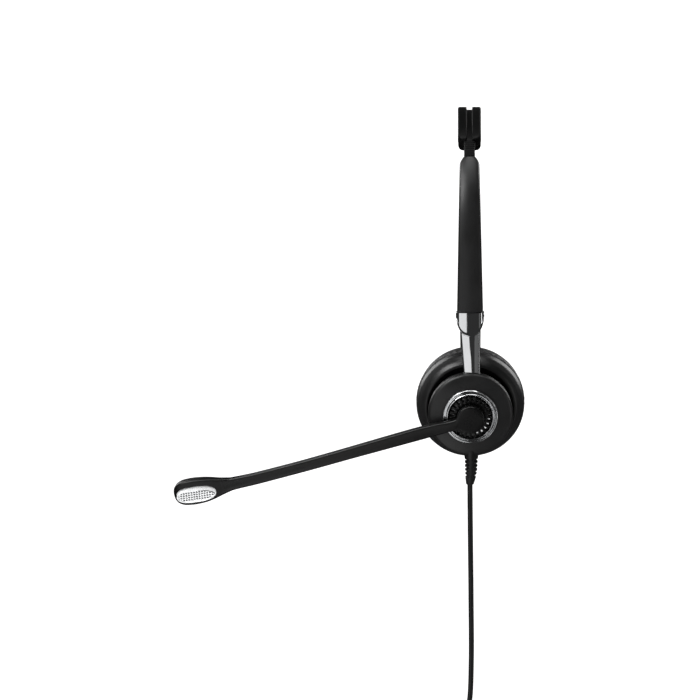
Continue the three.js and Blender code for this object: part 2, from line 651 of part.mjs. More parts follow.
function buildCord(group) {
  const exit = vector(-0.35, reliefEnd, reliefDepth).applyMatrix4(cupFrame);
  const down = alongAt(90 + cupLean);
  const straight = exit.clone().addScaledVector(down, gap);
  const hang = exit.y + 1.6;
  const bottom = exit.z - cordDrop;
  const run = new THREE.CatmullRomCurve3([
    straight,
    straight.clone().addScaledVector(down, 4),
    vector(-0.3, hang - 0.1, exit.z - 14),
    vector(-0.2, hang, exit.z - 30),
    vector(0, hang, exit.z - 60),
    vector(0, hang, exit.z - 90),
    vector(0, hang, bottom + gap),
  ]);
  const circle = oval(cordDiameter / 2, cordDiameter / 2, 8);
  const section = new THREE.Shape(circle.map(([x, y]) => new THREE.Vector2(x, y)));
  const tube = (curve, steps) => closed(
    new THREE.ExtrudeGeometry(section, { steps, bevelEnabled: false, extrudePath: curve }),
  );
  part(group, 'cord', tube(run, 20), 'rubber');

  const upright = (geometry) => geometry.rotateX(Math.PI / 2);
  const hankBottom = bottom - hankLength;
  part(group, 'cord_hank', closed(upright(
    plate(roundEnded(hankWidth, hankLength), -hankThickness / 2, hankThickness / 2),
  ).translate(0, hang, hankBottom)), 'rubber');

  const tieWall = 1;
  const [tieWidth, tieDepth] = [hankWidth + 2 * gap, hankThickness + 2 * gap];
  const box = (width, depth, corner) => new THREE.Shape(
    roundedBox(width, depth, corner).map(([x, y]) => new THREE.Vector2(x, y)),
  );
  const strap = cut(
    plate(box(tieWidth + 2 * tieWall, tieDepth + 2 * tieWall, 1.5), -3, 3),
    plate(box(tieWidth, tieDepth, 0.6), -4, 4),
  );
  part(group, 'cord_tie', strap.translate(0, hang, hankBottom + hankLength / 2), 'nylon');

  const tailBottom = hankBottom - tailLength;
  const tail = new THREE.LineCurve3(vector(0, hang, hankBottom - gap), vector(0, hang, tailBottom));
  part(group, 'cord_tail', tube(tail, 3), 'rubber');

  const sections = [
    [0, 1.9, 1.9], [-9, 2.9, 2.6], [-9.2, 4, 3], [-11, 5.6, 3.8], [-28, 5.6, 3.8], [-30, 4.6, 3],
  ];
  const place = (y) => ({
    at: vector(0, hang, tailBottom - gap + y),
    across: vector(1, 0, 0),
    outward: vector(0, 1, 0),
  });
  part(group, 'connector_body', lofted(
    sections.map(([y, halfX, halfY]) => ({ ...place(y), outline: oval(halfX, halfY, 16) })),
  ), 'satinBlack');
  part(group, 'connector_contacts', lofted(
    [-30 - gap, -35].map((y) => ({ ...place(y), outline: roundedBox(6.4, 3, 0.5) })),
  ), 'brass');
}

// ---------- assembly ----------
buildCrown();
['left', 'right'].forEach((side) => {
  const half = new THREE.Group();
  if (side === 'right') half.rotation.z = Math.PI;
  headset.add(half);
  buildArm(side, half);
  buildSlider(side, half);

  const cup = new THREE.Group();
  cupFrame.decompose(cup.position, cup.quaternion, cup.scale);
  half.add(cup);
  buildHousing(side, cup);
  buildGimbal(side, cup);
  buildEar(side, cup);
  if (side === 'left') {
    buildBearing(cup);
    buildBoom(cup);
    buildCord(half);
  } else {
    part(cup, 'right_housing_cap', turned([
      [0, 12.4], [10.6, 12.4], [10.6, 13.2], [9, 14], [0, 14.6],
    ]), 'softBlack');
  }
});

export default headset;
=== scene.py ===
import json
import math
import bmesh
import bpy
import numpy as np
from mathutils import Matrix, Vector


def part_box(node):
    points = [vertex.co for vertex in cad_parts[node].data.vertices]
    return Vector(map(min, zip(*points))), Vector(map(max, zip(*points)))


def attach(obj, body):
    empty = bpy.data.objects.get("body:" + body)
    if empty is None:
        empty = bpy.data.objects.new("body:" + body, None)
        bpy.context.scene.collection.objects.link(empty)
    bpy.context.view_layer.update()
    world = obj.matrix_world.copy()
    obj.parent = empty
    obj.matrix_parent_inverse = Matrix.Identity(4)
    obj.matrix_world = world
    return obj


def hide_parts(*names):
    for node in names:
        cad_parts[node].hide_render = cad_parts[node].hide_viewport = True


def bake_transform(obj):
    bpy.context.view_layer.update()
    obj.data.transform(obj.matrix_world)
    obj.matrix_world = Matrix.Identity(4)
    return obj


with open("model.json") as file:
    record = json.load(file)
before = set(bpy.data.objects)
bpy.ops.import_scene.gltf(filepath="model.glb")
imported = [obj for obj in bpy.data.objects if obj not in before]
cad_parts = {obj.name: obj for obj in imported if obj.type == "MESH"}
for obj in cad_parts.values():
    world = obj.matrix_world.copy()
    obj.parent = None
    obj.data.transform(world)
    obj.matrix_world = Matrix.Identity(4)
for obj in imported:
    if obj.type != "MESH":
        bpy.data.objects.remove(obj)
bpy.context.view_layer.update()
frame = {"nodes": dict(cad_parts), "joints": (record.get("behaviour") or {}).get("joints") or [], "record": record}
mm = 0.001
joints = {joint["name"]: joint for joint in frame["joints"]}
xAxis = np.array([1.0, 0.0, 0.0])
sides = ("left", "right")


# camera: level, straight on to the left ear cup
camera = {"distance": 2.6, "cupPlane": -0.060, "height": -0.0896, "focal": 264.8, "yaw": 1.335, "roll": -0.2,
          "shift": -0.0836}


def makeCamera(p):
    data = bpy.data.cameras.new("camera")
    data.lens = p["focal"]
    data.sensor_width = 36
    data.shift_y = p["shift"]
    data.clip_end = 20
    obj = bpy.data.objects.new("camera", data)
    obj.location = (0, p["cupPlane"] - p["distance"], p["height"])
    level = Matrix.Rotation(math.radians(90), 4, "X")
    turn = Matrix.Rotation(math.radians(p["yaw"]), 4, "Z")
    roll = Matrix.Rotation(math.radians(p["roll"]), 4, "Z")
    obj.rotation_euler = (turn @ level @ roll).to_euler()
    bpy.context.scene.collection.objects.link(obj)
    bpy.context.scene.camera = obj


makeCamera(camera)
print("camera")


# Makes an object of points and faces: doubles merged, faces turned out, smooth up to the sharp angle.
def meshObject(name, points, faces, sharp=35, values=None):
    mesh = bpy.data.meshes.new(name)
    mesh.from_pydata(np.asarray(points).reshape(-1, 3).tolist(), [], faces)
    for key, value in (values or {}).items():
        attribute = mesh.attributes.new(key, "FLOAT", "POINT")
        attribute.data.foreach_set("value", np.asarray(value, np.float32).ravel())
    work = bmesh.new()
    work.from_mesh(mesh)
    bmesh.ops.remove_doubles(work, verts=work.verts, dist=1e-7)
    bmesh.ops.recalc_face_normals(work, faces=work.faces)
    work.to_mesh(mesh)
    work.free()
    mesh.shade_smooth()
    mesh.set_sharp_from_angle(angle=math.radians(sharp))
    obj = bpy.data.objects.new(name, mesh)
    bpy.context.scene.collection.objects.link(obj)
    return obj


# Quads over a grid of points, whose columns close on themselves; rows close too, or end in flat caps.
def gridFaces(rows, columns, loopRows=False, caps=True):
    index = np.arange(rows * columns).reshape(rows, columns)
    low = index if loopRows else index[:-1]
    high = np.roll(index, -1, 0) if loopRows else index[1:]
    faces = np.stack([low, np.roll(low, -1, 1), np.roll(high, -1, 1), high], -1).reshape(-1, 4).tolist()
    if caps and not loopRows:
        faces += [index[0, ::-1].tolist(), index[-1].tolist()]
    return faces


# Corner points whose coordinates may be arrays along the piece.
def corners(*pairs):
    shape = np.broadcast_shapes(*(np.shape(value) for pair in pairs for value in pair))
    return np.stack([np.stack([np.broadcast_to(value, shape) for value in pair], -1) for pair in pairs], -2)


# Rounds every corner with a quadratic curve between points a radius away along both edges.
def rounded(points, radius, steps=4, loop=True):
    points = np.asarray(points, float)
    reach = np.broadcast_to(np.asarray(radius, float), points.shape[:-1]).copy()
    if not loop:
        reach[..., [0, -1]] = 0
    before, after = np.roll(points, 1, -2) - points, np.roll(points, -1, -2) - points
    ends = []
    for edge in (before, after):
        length = np.maximum(np.linalg.norm(edge, axis=-1), 1e-9)
        ends.append(points + edge * (np.minimum(reach, 0.48 * length) / length)[..., None])
    t = np.linspace(0, 1, steps + 1)[:, None]
    start, corner, end = ends[0][..., None, :], points[..., None, :], ends[1][..., None, :]
    arcs = (1 - t) ** 2 * start + 2 * t * (1 - t) * corner + t * t * end
    return arcs.reshape(*points.shape[:-2], -1, points.shape[-1])


# A box's outline with rounded corners, its half sizes maybe arrays along the piece.
def roundedBox(w, t, radius, steps):
    return rounded(corners((-w, -t), (-w, t), (w, t), (w, -t)), radius, steps)


# A skin over outlines: each point is the station's place plus its shares across and outward.
def swept(name, stations, outlines, sharp=40):
    at, across, outward = stations
    grid = (np.atleast_2d(at)[:, None] + outlines[..., :1] * np.atleast_2d(across)[:, None]
            + outlines[..., 1:] * np.atleast_2d(outward)[:, None])
    return meshObject(name, grid, gridFaces(*grid.shape[:2]), sharp)


# A turned piece: a profile of radius and height carried round a full circle in a cup's frame.
def turned(name, profile, place, loop=False, segments=128, sharp=40, values=None):
    angle = np.linspace(0, 2 * math.pi, segments, endpoint=False)
    radius, height = profile[:, :1], profile[:, 1:]
    grid = place(radius * np.cos(angle), radius * np.sin(angle), height + 0 * angle)
    spread = {key: np.repeat(value, segments) for key, value in (values or {}).items()}
    return meshObject(name, grid, gridFaces(len(profile), segments, loop, caps=False), sharp, spread)


# Evenly spaced points along a line, or round a loop.
def resample(points, count, loop=False):
    line = np.vstack([points, points[:1]]) if loop else np.asarray(points)
    along = np.concatenate([[0], np.cumsum(np.linalg.norm(np.diff(line, axis=0), axis=1))])
    places = np.linspace(0, along[-1], count, endpoint=not loop)
    return np.column_stack([np.interp(places, along, line[:, k]) for k in range(line.shape[1])])


def pathLength(points):
    return float(np.linalg.norm(np.diff(points, axis=0), axis=1).sum())


# A soft step from 0 to 1 as a value passes a place.
def softStep(value, place, softness):
    return 1 / (1 + np.exp(-np.clip((value - place) / softness, -40, 40)))


# A quarter round's drop: nothing at its full depth and the whole of it at the edge.
def roundOff(distance, depth):
    share = np.clip(distance / depth, 0, 1)
    return 1 - np.sqrt(1 - (1 - share) ** 2)


# The mean of the values over a window, leaving the ends as they are.
def smoothed(values, width):
    half = width // 2
    values = values.copy()
    values[half:-half] = np.convolve(values, np.ones(width) / width, "valid")
    return values


# middle lines of the band, arm and slider: a place is the angle of its outward normal from straight up
band = {"radius": 68 * mm, "height": 3 * mm, "padEnd": 41.6, "neckEnd": 51.8}
arm = {"bend": 60 * mm, "lean": 10, "length": 80.4 * mm, "topWidth": 10.1 * mm, "bottomWidth": 13.2 * mm,
       "thickness": 6.8 * mm, "wall": 0.8 * mm, "shoulder": 3.5 * mm, "neckWidth": 5.9 * mm}
slider = {"straight": 14 * mm, "turn": 12 * mm, "cupLean": 15, "below": 26.9 * mm, "shoulder": 6.3 * mm,
          "width": 11.3 * mm, "foot": 9.0 * mm, "thickness": 2.6 * mm, "crown": 0.9 * mm, "shift": 0.8 * mm,
          "tongue": 8.2 * mm, "tongueThickness": 2.4 * mm, "inArm": 30 * mm, "housingEdge": 21.5 * mm,
          "inHousing": 13 * mm}


# The outward normal leans from straight up towards the left side by the angle.
def normalAt(degrees):
    a = np.radians(degrees)
    return np.stack([0 * a, -np.sin(a), np.cos(a)], -1)


# The way down the line, square to the normal.
def alongAt(degrees):
    a = np.radians(degrees)
    return np.stack([0 * a, -np.cos(a), -np.sin(a)], -1)


# A station is a place, the direction across it and the outward normal; the crown's lie on a circle.
def crownStation(degrees):
    at = np.array([0, 0, band["height"] - band["radius"]]) + normalAt(degrees) * band["radius"]
    return at, xAxis, normalAt(degrees)


bendEnd = 90.0 + arm["lean"]
bendLength = arm["bend"] * math.radians(bendEnd - band["neckEnd"])
bendCentre = crownStation(band["neckEnd"])[0] - normalAt(band["neckEnd"]) * arm["bend"]
armFoot = bendCentre + normalAt(bendEnd) * arm["bend"] + alongAt(bendEnd) * (arm["length"] - bendLength)


# The arm's line bends on a smaller circle, then runs straight.
def armStation(distance):
    degrees = np.minimum(band["neckEnd"] + np.degrees(distance / arm["bend"]), bendEnd)
    beyond = np.maximum(np.asarray(distance) - bendLength, 0)[..., None]
    return bendCentre + normalAt(degrees) * arm["bend"] + alongAt(bendEnd) * beyond, xAxis, normalAt(degrees)


# The slider's line is straight, turns on a short arc to the cup's lean, and is straight again.
def sliderStation(distance):
    distance = np.asarray(distance, float)
    radius = slider["turn"] / math.radians(slider["cupLean"] - arm["lean"])
    turn = np.clip(distance - slider["straight"], 0, slider["turn"])
    degrees = bendEnd + np.degrees(turn / radius)
    centre = armFoot + alongAt(bendEnd) * slider["straight"] - normalAt(bendEnd) * radius
    before = np.minimum(distance - slider["straight"], 0)[..., None]
    beyond = np.maximum(distance - slider["straight"] - slider["turn"], 0)[..., None]
    at = centre + normalAt(degrees) * radius + alongAt(bendEnd) * before
    at = at + alongAt(90.0 + slider["cupLean"]) * beyond
    return at, xAxis, normalAt(degrees)


# The right side is the left side turned half round the vertical.
def onSide(side, point):
    return point if side == "left" else np.asarray(point) * np.array([-1, -1, 1])


def sideStations(side, stations):
    return tuple(onSide(side, part) for part in stations)


cupOut = np.array(joints["boom_turn"]["axis"], float)
cupUp = np.array(joints["left_cup_swivel"]["axis"], float)
cupCentre = np.array(joints["left_cup_tilt"]["pos_m"], float) + cupOut * 2 * mm
earRise = 0.4 * mm


# A point of a cup: x across, y up its face and z out of it; the ear piece sits a little higher.
def onCup(side, rise=0.0):
    def place(x, y, z):
        x, y, z = (np.asarray(value, float)[..., None] for value in (x, y, z))
        return onSide(side, cupCentre + x * xAxis + (y + rise) * cupUp + z * cupOut)
    return place


# A cup's own coordinates of world points.
def inCup(side, points, rise=0.0):
    turn = np.array([onSide(side, xAxis), onSide(side, cupUp), onSide(side, cupOut)])
    return (points - onCup(side, rise)(0, 0, 0)) @ turn.T, turn


def readPoints(mesh):
    points = np.empty(len(mesh.vertices) * 3, np.float32)
    mesh.vertices.foreach_get("co", points)
    return points.reshape(-1, 3).astype(float)


# materials
def newMaterial(name):
    material = bpy.data.materials.new(name)
    material.use_nodes = True
    nodes = material.node_tree.nodes
    return material, nodes, material.node_tree.links, nodes["Principled BSDF"]


# A value goes to the node's socket of that name, or else to its setting.
def addNode(nodes, kind, **values):
    node = nodes.new(kind)
    for key, value in values.items():
        if key in node.inputs:
            node.inputs[key].default_value = value
        else:
            setattr(node, key, value)
    return node


# Noise on Object coordinates keeps its real size on every piece.
def grain(nodes, links, scale, detail=3, roughness=0.55, stretch=None):
    place = addNode(nodes, "ShaderNodeTexCoord").outputs["Object"]
    if stretch:
        mapping = addNode(nodes, "ShaderNodeMapping")
        mapping.inputs["Scale"].default_value = stretch
        links.new(place, mapping.inputs["Vector"])
        place = mapping.outputs["Vector"]
    noise = addNode(nodes, "ShaderNodeTexNoise", Scale=scale, Detail=detail, Roughness=roughness)
    links.new(place, noise.inputs["Vector"])
    return noise.outputs["Fac"]


# Stretches the middle of a noise's range over a range of its own.
def ramp(nodes, links, source, low, high, fromMin=0.3, fromMax=0.7):
    node = addNode(nodes, "ShaderNodeMapRange")
    for key, value in (("From Min", fromMin), ("From Max", fromMax), ("To Min", low), ("To Max", high)):
        node.inputs[key].default_value = value
    links.new(source, node.inputs["Value"])
    return node.outputs["Result"]


# Mixes two colours, or a colour already made by other nodes with a plain one.
def mixColour(nodes, links, factor, first, second):
    node = nodes.new("ShaderNodeMix")
    node.data_type = "RGBA"
    if isinstance(first, tuple):
        node.inputs["A"].default_value = (*first, 1)
    else:
        links.new(first, node.inputs["A"])
    node.inputs["B"].default_value = (*second, 1)
    links.new(factor, node.inputs["Factor"])
    return node.outputs["Result"]


# Two colours in the patches of a noise.
def patched(nodes, links, source, first, second):
    return mixColour(nodes, links, ramp(nodes, links, source, 0, 1), first, second)


def bump(nodes, links, shader, height, strength, distance):
    node = addNode(nodes, "ShaderNodeBump", Strength=strength, Distance=distance)
    links.new(height, node.inputs["Height"])
    links.new(node.outputs["Normal"], shader.inputs["Normal"])


# Paints shade: darkens the points that an attribute of the mesh marks, in place of the shade that falls there.
def shaded(nodes, links, colour, attribute, shade):
    factor = addNode(nodes, "ShaderNodeAttribute", attribute_name=attribute).outputs["Fac"]
    return mixColour(nodes, links, factor, colour, shade)


# Moulded plastic: a fine grain in the surface, and broad patches polished by handling.
def mouldedPlastic(name, dark, light, roughness, grainSize, depth, specular, attribute=None):
    material, nodes, links, shader = newMaterial(name)
    patches = grain(nodes, links, 60, 4)
    colour = patched(nodes, links, patches, (dark,) * 3, (light, light, light * 1.03))
    # points that the attribute marks get painted shade, near black
    if attribute:
        colour = shaded(nodes, links, colour, attribute, (0.001,) * 3)
    links.new(colour, shader.inputs["Base Color"])
    links.new(ramp(nodes, links, patches, roughness - 0.04, roughness + 0.06), shader.inputs["Roughness"])
    shader.inputs["Specular IOR Level"].default_value = specular
    bump(nodes, links, shader, grain(nodes, links, 1 / grainSize, 2), 0.5, depth)
    return material


# Plating: a mirror with faint haze and a trace of waviness from the moulding below.
def plating(name, colour, roughness, wave, attribute=None, metallic=1.0):
    material, nodes, links, shader = newMaterial(name)
    haze = grain(nodes, links, 140, 4)
    base = patched(nodes, links, haze, colour, tuple(0.94 * c for c in colour))
    # points that the attribute marks get painted shade, near black
    if attribute:
        base = shaded(nodes, links, base, attribute, (0.006,) * 3)
    links.new(base, shader.inputs["Base Color"])
    shader.inputs["Metallic"].default_value = metallic
    links.new(ramp(nodes, links, haze, roughness, roughness + 0.05), shader.inputs["Roughness"])
    bump(nodes, links, shader, grain(nodes, links, 90, 1), 0.25, wave)
    return material


# Brushed metal: noise drawn out along one axis makes fine scratches.
def brushedMetal(name, colour, roughness):
    material, nodes, links, shader = newMaterial(name)
    scratches = grain(nodes, links, 1, 3, stretch=(400, 4000, 4000))
    base = patched(nodes, links, scratches, colour, tuple(0.8 * c for c in colour))
    links.new(base, shader.inputs["Base Color"])
    shader.inputs["Metallic"].default_value = 1
    links.new(ramp(nodes, links, scratches, roughness - 0.08, roughness + 0.12), shader.inputs["Roughness"])
    bump(nodes, links, shader, scratches, 0.3, 0.00002)
    return material


# Leatherette: rounded pebbles between fine creases, from the distance to the nearest cell's edge; the creases get
# painted shade.
def leatherette(name):
    material, nodes, links, shader = newMaterial(name)
    place = addNode(nodes, "ShaderNodeTexCoord")
    cells = addNode(nodes, "ShaderNodeTexVoronoi", Scale=1500)
    cells.feature = "DISTANCE_TO_EDGE"
    links.new(place.outputs["Object"], cells.inputs["Vector"])
    creases = ramp(nodes, links, cells.outputs["Distance"], 0, 1, 0, 0.3)
    wrinkles = grain(nodes, links, 220, 5, 0.6)
    total = addNode(nodes, "ShaderNodeMath", operation="MULTIPLY_ADD")
    total.inputs[1].default_value = 0.5
    links.new(wrinkles, total.inputs[0])
    links.new(creases, total.inputs[2])
    tint = patched(nodes, links, wrinkles, (0.009, 0.009, 0.0095), (0.02, 0.02, 0.021))
    # the creases are darkened to near black as painted shade
    deep = addNode(nodes, "ShaderNodeMath", operation="SUBTRACT")
    deep.inputs[0].default_value = 1
    links.new(creases, deep.inputs[1])
    colour = mixColour(nodes, links, deep.outputs["Value"], tint, (0.004,) * 3)
    links.new(colour, shader.inputs["Base Color"])
    links.new(ramp(nodes, links, wrinkles, 0.4, 0.54), shader.inputs["Roughness"])
    bump(nodes, links, shader, total.outputs["Value"], 0.6, 0.00008)
    return material


# Circuit board: staggered copper runs under a green mask.
def boardFinish(name):
    material, nodes, links, shader = newMaterial(name)
    place = addNode(nodes, "ShaderNodeTexCoord")
    lines = addNode(nodes, "ShaderNodeTexBrick", Scale=320, Color1=(0.01, 0.09, 0.035, 1),
                    Color2=(0.012, 0.11, 0.04, 1), Mortar=(0.03, 0.2, 0.08, 1))
    links.new(place.outputs["Object"], lines.inputs["Vector"])
    links.new(lines.outputs["Color"], shader.inputs["Base Color"])
    shader.inputs["Roughness"].default_value = 0.35
    bump(nodes, links, shader, lines.outputs["Fac"], 0.4, 0.00005)
    return material


# Woven strap: two crossed waves.
def wovenStrap(name):
    material, nodes, links, shader = newMaterial(name)
    place = addNode(nodes, "ShaderNodeTexCoord")
    product = addNode(nodes, "ShaderNodeMath", operation="MULTIPLY")
    for socket, direction in enumerate(("Z", "X")):
        rows = addNode(nodes, "ShaderNodeTexWave", Scale=900, Distortion=0.5, bands_direction=direction)
        links.new(place.outputs["Object"], rows.inputs["Vector"])
        links.new(rows.outputs["Fac"], product.inputs[socket])
    colour = mixColour(nodes, links, product.outputs["Value"], (0.01, 0.01, 0.011), (0.05, 0.05, 0.053))
    links.new(colour, shader.inputs["Base Color"])
    shader.inputs["Roughness"].default_value = 0.85
    bump(nodes, links, shader, product.outputs["Value"], 0.7, 0.0002)
    return material


# darkest and lightest tone, roughness, grain size and bump depth in metres, specular level, painted shade
# attribute
plastics = {
    "pad_rubber": (0.001, 0.002, 0.42, 0.0009, 0.00004, 0.12),
    # soft black: the points its attribute marks get painted shade, near black
    "soft_black": (0.006, 0.009, 0.36, 0.0007, 0.00003, 0.42, "recess"),
    "satin_black": (0.002, 0.003, 0.28, 0.0006, 0.00002, 0.35),
    "cord_rubber": (0.003, 0.005, 0.40, 0.0008, 0.00003, 0.4),
    "lead_jacket": (0.02, 0.03, 0.45, 0.0008, 0.00003, 0.5),
    "nylon": (0.03, 0.045, 0.5, 0.001, 0.00003, 0.5),
    "film": (0.45, 0.55, 0.25, 0.002, 0.00002, 0.5),
}
finishes = {name: mouldedPlastic(name, *values) for name, values in plastics.items()}
finishes.update({
    "chrome": plating("chrome", (0.86, 0.87, 0.88), 0.02, 0.000003),
    "brass": plating("brass", (0.75, 0.56, 0.25), 0.18, 0.00004),
    "magnet": plating("magnet", (0.45, 0.46, 0.48), 0.2, 0.00004),
    "spring_steel": brushedMetal("spring_steel", (0.06, 0.06, 0.065), 0.4),
    "screw_steel": brushedMetal("screw_steel", (0.55, 0.56, 0.58), 0.3),
    "leatherette": leatherette("leatherette"),
    "circuit_board": boardFinish("circuit_board"),
    "tie_fabric": wovenStrap("tie_fabric"),
})
# the plated mesh paints shade, near black, on the points that the pit attribute marks: the pits and the groove
grilleFinish = plating("plated_mesh", (0.92, 0.93, 0.94), 0.25, 0.00001, "pit", 0.4)


# Gives a new piece its finish, the body that it rides on and the nodes that it stands for.
def finishPiece(piece, body, slot, *nodes, finish=None):
    piece.data.materials.clear()
    piece.data.materials.append(finish or finishes[slot])
    if body:
        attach(piece, body)
    if nodes:
        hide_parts(*nodes)


for part in frame["record"]["subparts"]:
    node = frame["nodes"][part["node"]]
    node.data.materials.clear()
    node.data.materials.append(finishes[part["material_slot"]])
print("materials")


# cord: straight out of the strain relief, hanging, wound into a tied hank, then the tail to the connector
cord = {"diameter": 2.7 * mm, "exit": (-0.35 * mm, -37.2 * mm, 6.9 * mm), "sway": 1.6 * mm, "drop": 116 * mm,
        "hankLength": 48 * mm, "outer": 8.05 * mm, "inner": 5.2 * mm, "pitch": 2.76 * mm, "turns": 4,
        "pointsPerTurn": 60, "tail": 17 * mm, "spacing": 1.3 * mm}


# A smooth line through its points, each stretch a cubic of the four points round it.
def catmull(points, steps):
    p = np.asarray(points, float)
    p = np.vstack([2 * p[0] - p[1], p, 2 * p[-1] - p[-2]])
    t = np.linspace(0, 1, steps, endpoint=False)[:, None]
    a, b, c, d = (p[i:len(p) - 3 + i][:, None] for i in range(4))
    line = 0.5 * (2 * b + (c - a) * t + (2 * a - 5 * b + 4 * c - d) * t ** 2
                  + (3 * b - a - 3 * c + d) * t ** 3)
    return np.vstack([line.reshape(-1, p.shape[1]), p[-2]])


# A racetrack's points by the share of a turn from its left middle: straight runs joined by half circles.
def racetrack(share, radius, length):
    straight = length - 2 * radius
    bend = math.pi * radius
    s = (share % 1) * 2 * (straight + bend)
    half = straight / 2
    low = np.clip((s - half) / radius, 0, math.pi)
    high = np.clip((s - 1.5 * straight - bend) / radius, 0, math.pi)
    climbed = np.clip(s - half - bend, 0, straight)
    z = -np.minimum(s, half) - radius * np.sin(low) + climbed + radius * np.sin(high)
    z -= np.clip(s - 1.5 * straight - 2 * bend, 0, half)
    x = np.where(high > 0, radius * np.cos(high), -radius * np.cos(low))
    return x, z


# Hanging points, then two layers of racetrack turns inside each other, then the tail.
def cordPath(p):
    exitPoint = onCup("left")(*p["exit"])
    down = alongAt(90.0 + slider["cupLean"])
    hang = exitPoint[1] + p["sway"]
    start = exitPoint + down * 0.3 * mm
    top = exitPoint[2] - p["drop"]
    bottom = top - p["hankLength"]
    middle = (top + bottom) / 2
    depth = p["turns"] * p["pitch"]
    front = hang - depth / 2
    run = [start, start + down * 4 * mm]
    run += [(x * mm, hang, exitPoint[2] - z * mm) for x, z in ((-0.3, 14), (-0.2, 30), (0, 60), (0, 90))]
    # over the hank's shoulder on to its left run
    run += [(-1.2 * mm, hang - 2.5 * mm, top + 4 * mm), (-5.6 * mm, front + 0.3 * mm, top - 3.2 * mm)]
    pieces = [catmull(run, 10)]
    # the outer layer's turns step back by a pitch each, and the inner layer's come forward again
    for layer, radius, lead in ((0, p["outer"], 0.07), (1, p["inner"], 0.0)):
        stretch = p["hankLength"] - p["diameter"] - 2 * (p["outer"] - radius)
        turn = np.arange(-lead, p["turns"] - (0 if layer else 0.1), 1 / p["pointsPerTurn"])
        share = np.clip(turn / p["turns"], 0, 1)
        x, z = racetrack(turn, radius, stretch)
        y = front + (share if layer == 0 else 1 - share) * depth
        pieces.append(np.column_stack([x, y, middle + z]))
    # the last run drops in front of the bottom bends and back under the hank's middle
    tail = [pieces[-1][-1], (-5.0 * mm, front - 1.6 * mm, middle - 8 * mm),
            (-3.2 * mm, front - 2.9 * mm, bottom + 6 * mm), (-0.8 * mm, front - 1.2 * mm, bottom - 3 * mm),
            (0, hang - 1.5 * mm, bottom - 9 * mm), (0, hang, bottom - p["tail"])]
    pieces.append(catmull(tail, 8)[1:])
    return exitPoint, np.vstack(pieces)


def makeCord(p):
    exitPoint, points = cordPath(p)
    points = resample(points, round(pathLength(points) / p["spacing"]))
    # three passes of a short weighted mean ease the joints between the stretches
    for _ in range(3):
        points[1:-1] = (points[:-2] + 2 * points[1:-1] + points[2:]) / 4
    curve = bpy.data.curves.new("cord_line", "CURVE")
    curve.dimensions = "3D"
    curve.bevel_depth = p["diameter"] / 2
    curve.bevel_resolution = 4
    curve.use_fill_caps = True
    spline = curve.splines.new("POLY")
    spline.points.add(len(points) - 1)
    spline.points.foreach_set("co", np.column_stack([points, np.ones(len(points))]).ravel())
    spline.use_smooth = True
    obj = bpy.data.objects.new("cord_line", curve)
    bpy.context.scene.collection.objects.link(obj)
    finishPiece(obj, "left_housing", "cord_rubber", "cord", "cord_hank", "cord_tail")
    return obj, exitPoint, pathLength(points)


cordPiece, cordExit, cordLength = makeCord(cord)
print("cord, metres:", round(cordLength, 4))


# crown: pad over and under the spring strip, with grip ribs below
crown = {"width": 11.9 * mm, "top": 2.5 * mm, "groove": 2.8 * mm, "grooveDepth": 1.45 * mm,
         "corner": 1.1 * mm, "gap": 0.15 * mm, "slot": 2.2 * mm, "slotTop": 0.65 * mm,
         "slotBottom": 1.9 * mm, "ribs": 208, "ribDepth": 0.22 * mm, "ribEnd": 37, "ribFade": 5}


# The upper half: a block with a square groove along its top and half of the strip's slot below.
def upperPad(p, w, shrink):
    low, slot, edge, corner = p["gap"], p["slot"], p["groove"] / 2, p["corner"]
    top = p["top"] * shrink
    deep = np.minimum(p["grooveDepth"] * shrink, top - 0.8 * mm)
    outline = corners((-w, low), (-w, top), (-edge, top), (-edge, top - deep), (edge, top - deep),
                      (edge, top), (w, top), (w, low), (slot, low), (slot, p["slotTop"]),
                      (-slot, p["slotTop"]), (-slot, low))
    lip, groove, floor = 0.2 * mm, 0.5 * mm, 0.35 * mm
    return rounded(outline, [lip, corner, groove, floor, floor, groove, corner, lip, 0, 0, 0, 0], 5)


# The lower half: its underside rises to each rib, a sharpened cosine along the band that fades at its ends.
def lowerPad(p, w, shrink, angles):
    low, slot, flat, corner = p["gap"], p["slot"], 0.6 * p["groove"], p["corner"]
    wave = np.maximum(0, np.cos(np.radians(angles) * p["ribs"])) ** 6
    rib = p["ribDepth"] * wave * np.clip((p["ribEnd"] - np.abs(angles)) / p["ribFade"], 0, 1)
    base = band["height"] * shrink
    outline = corners((-w, -low), (-slot, -low), (-slot, -p["slotBottom"]), (slot, -p["slotBottom"]),
                      (slot, -low), (w, -low), (w, -base), (flat, -base), (0, rib - base), (-flat, -base),
                      (-w, -base))
    lip = 0.2 * mm
    return rounded(outline, [lip, 0, 0, 0, 0, lip, corner, 0, 0, 0, corner], 5)


def makeCrown(p):
    span = band["padEnd"]
    last = span - np.array([0, 0.05, 0.15, 0.3, 0.5, 0.75, 1.1, 1.5, 2, 2.6, 3.3])
    angles = np.concatenate([-last, np.linspace(4 - span, span - 4, 146), last[::-1]])
    # both ends are drawn in by a round
    fromEnd = span - np.abs(angles)
    shrink = 1 - 0.38 * roundOff(fromEnd, 1.7)
    w = p["width"] / 2 * (1 - 0.5 * roundOff(fromEnd, 3.6))
    upper = swept("crown_top", crownStation(angles), upperPad(p, w, shrink), 50)
    finishPiece(upper, "crown", "pad_rubber", "crown_pad_top")
    lower = swept("crown_under", crownStation(angles), lowerPad(p, w, shrink, angles), 50)
    finishPiece(lower, "crown", "pad_rubber", "crown_pad_underside")


makeCrown(crown)


# neck: the rubbered strip between the crown's pad and the arm, which takes the flex
neck = {"width": 5.7 * mm, "thickness": 2.5 * mm, "waist": 0.97, "ribs": 9, "ribDepth": 0.14 * mm,
        "corner": 0.7 * mm}


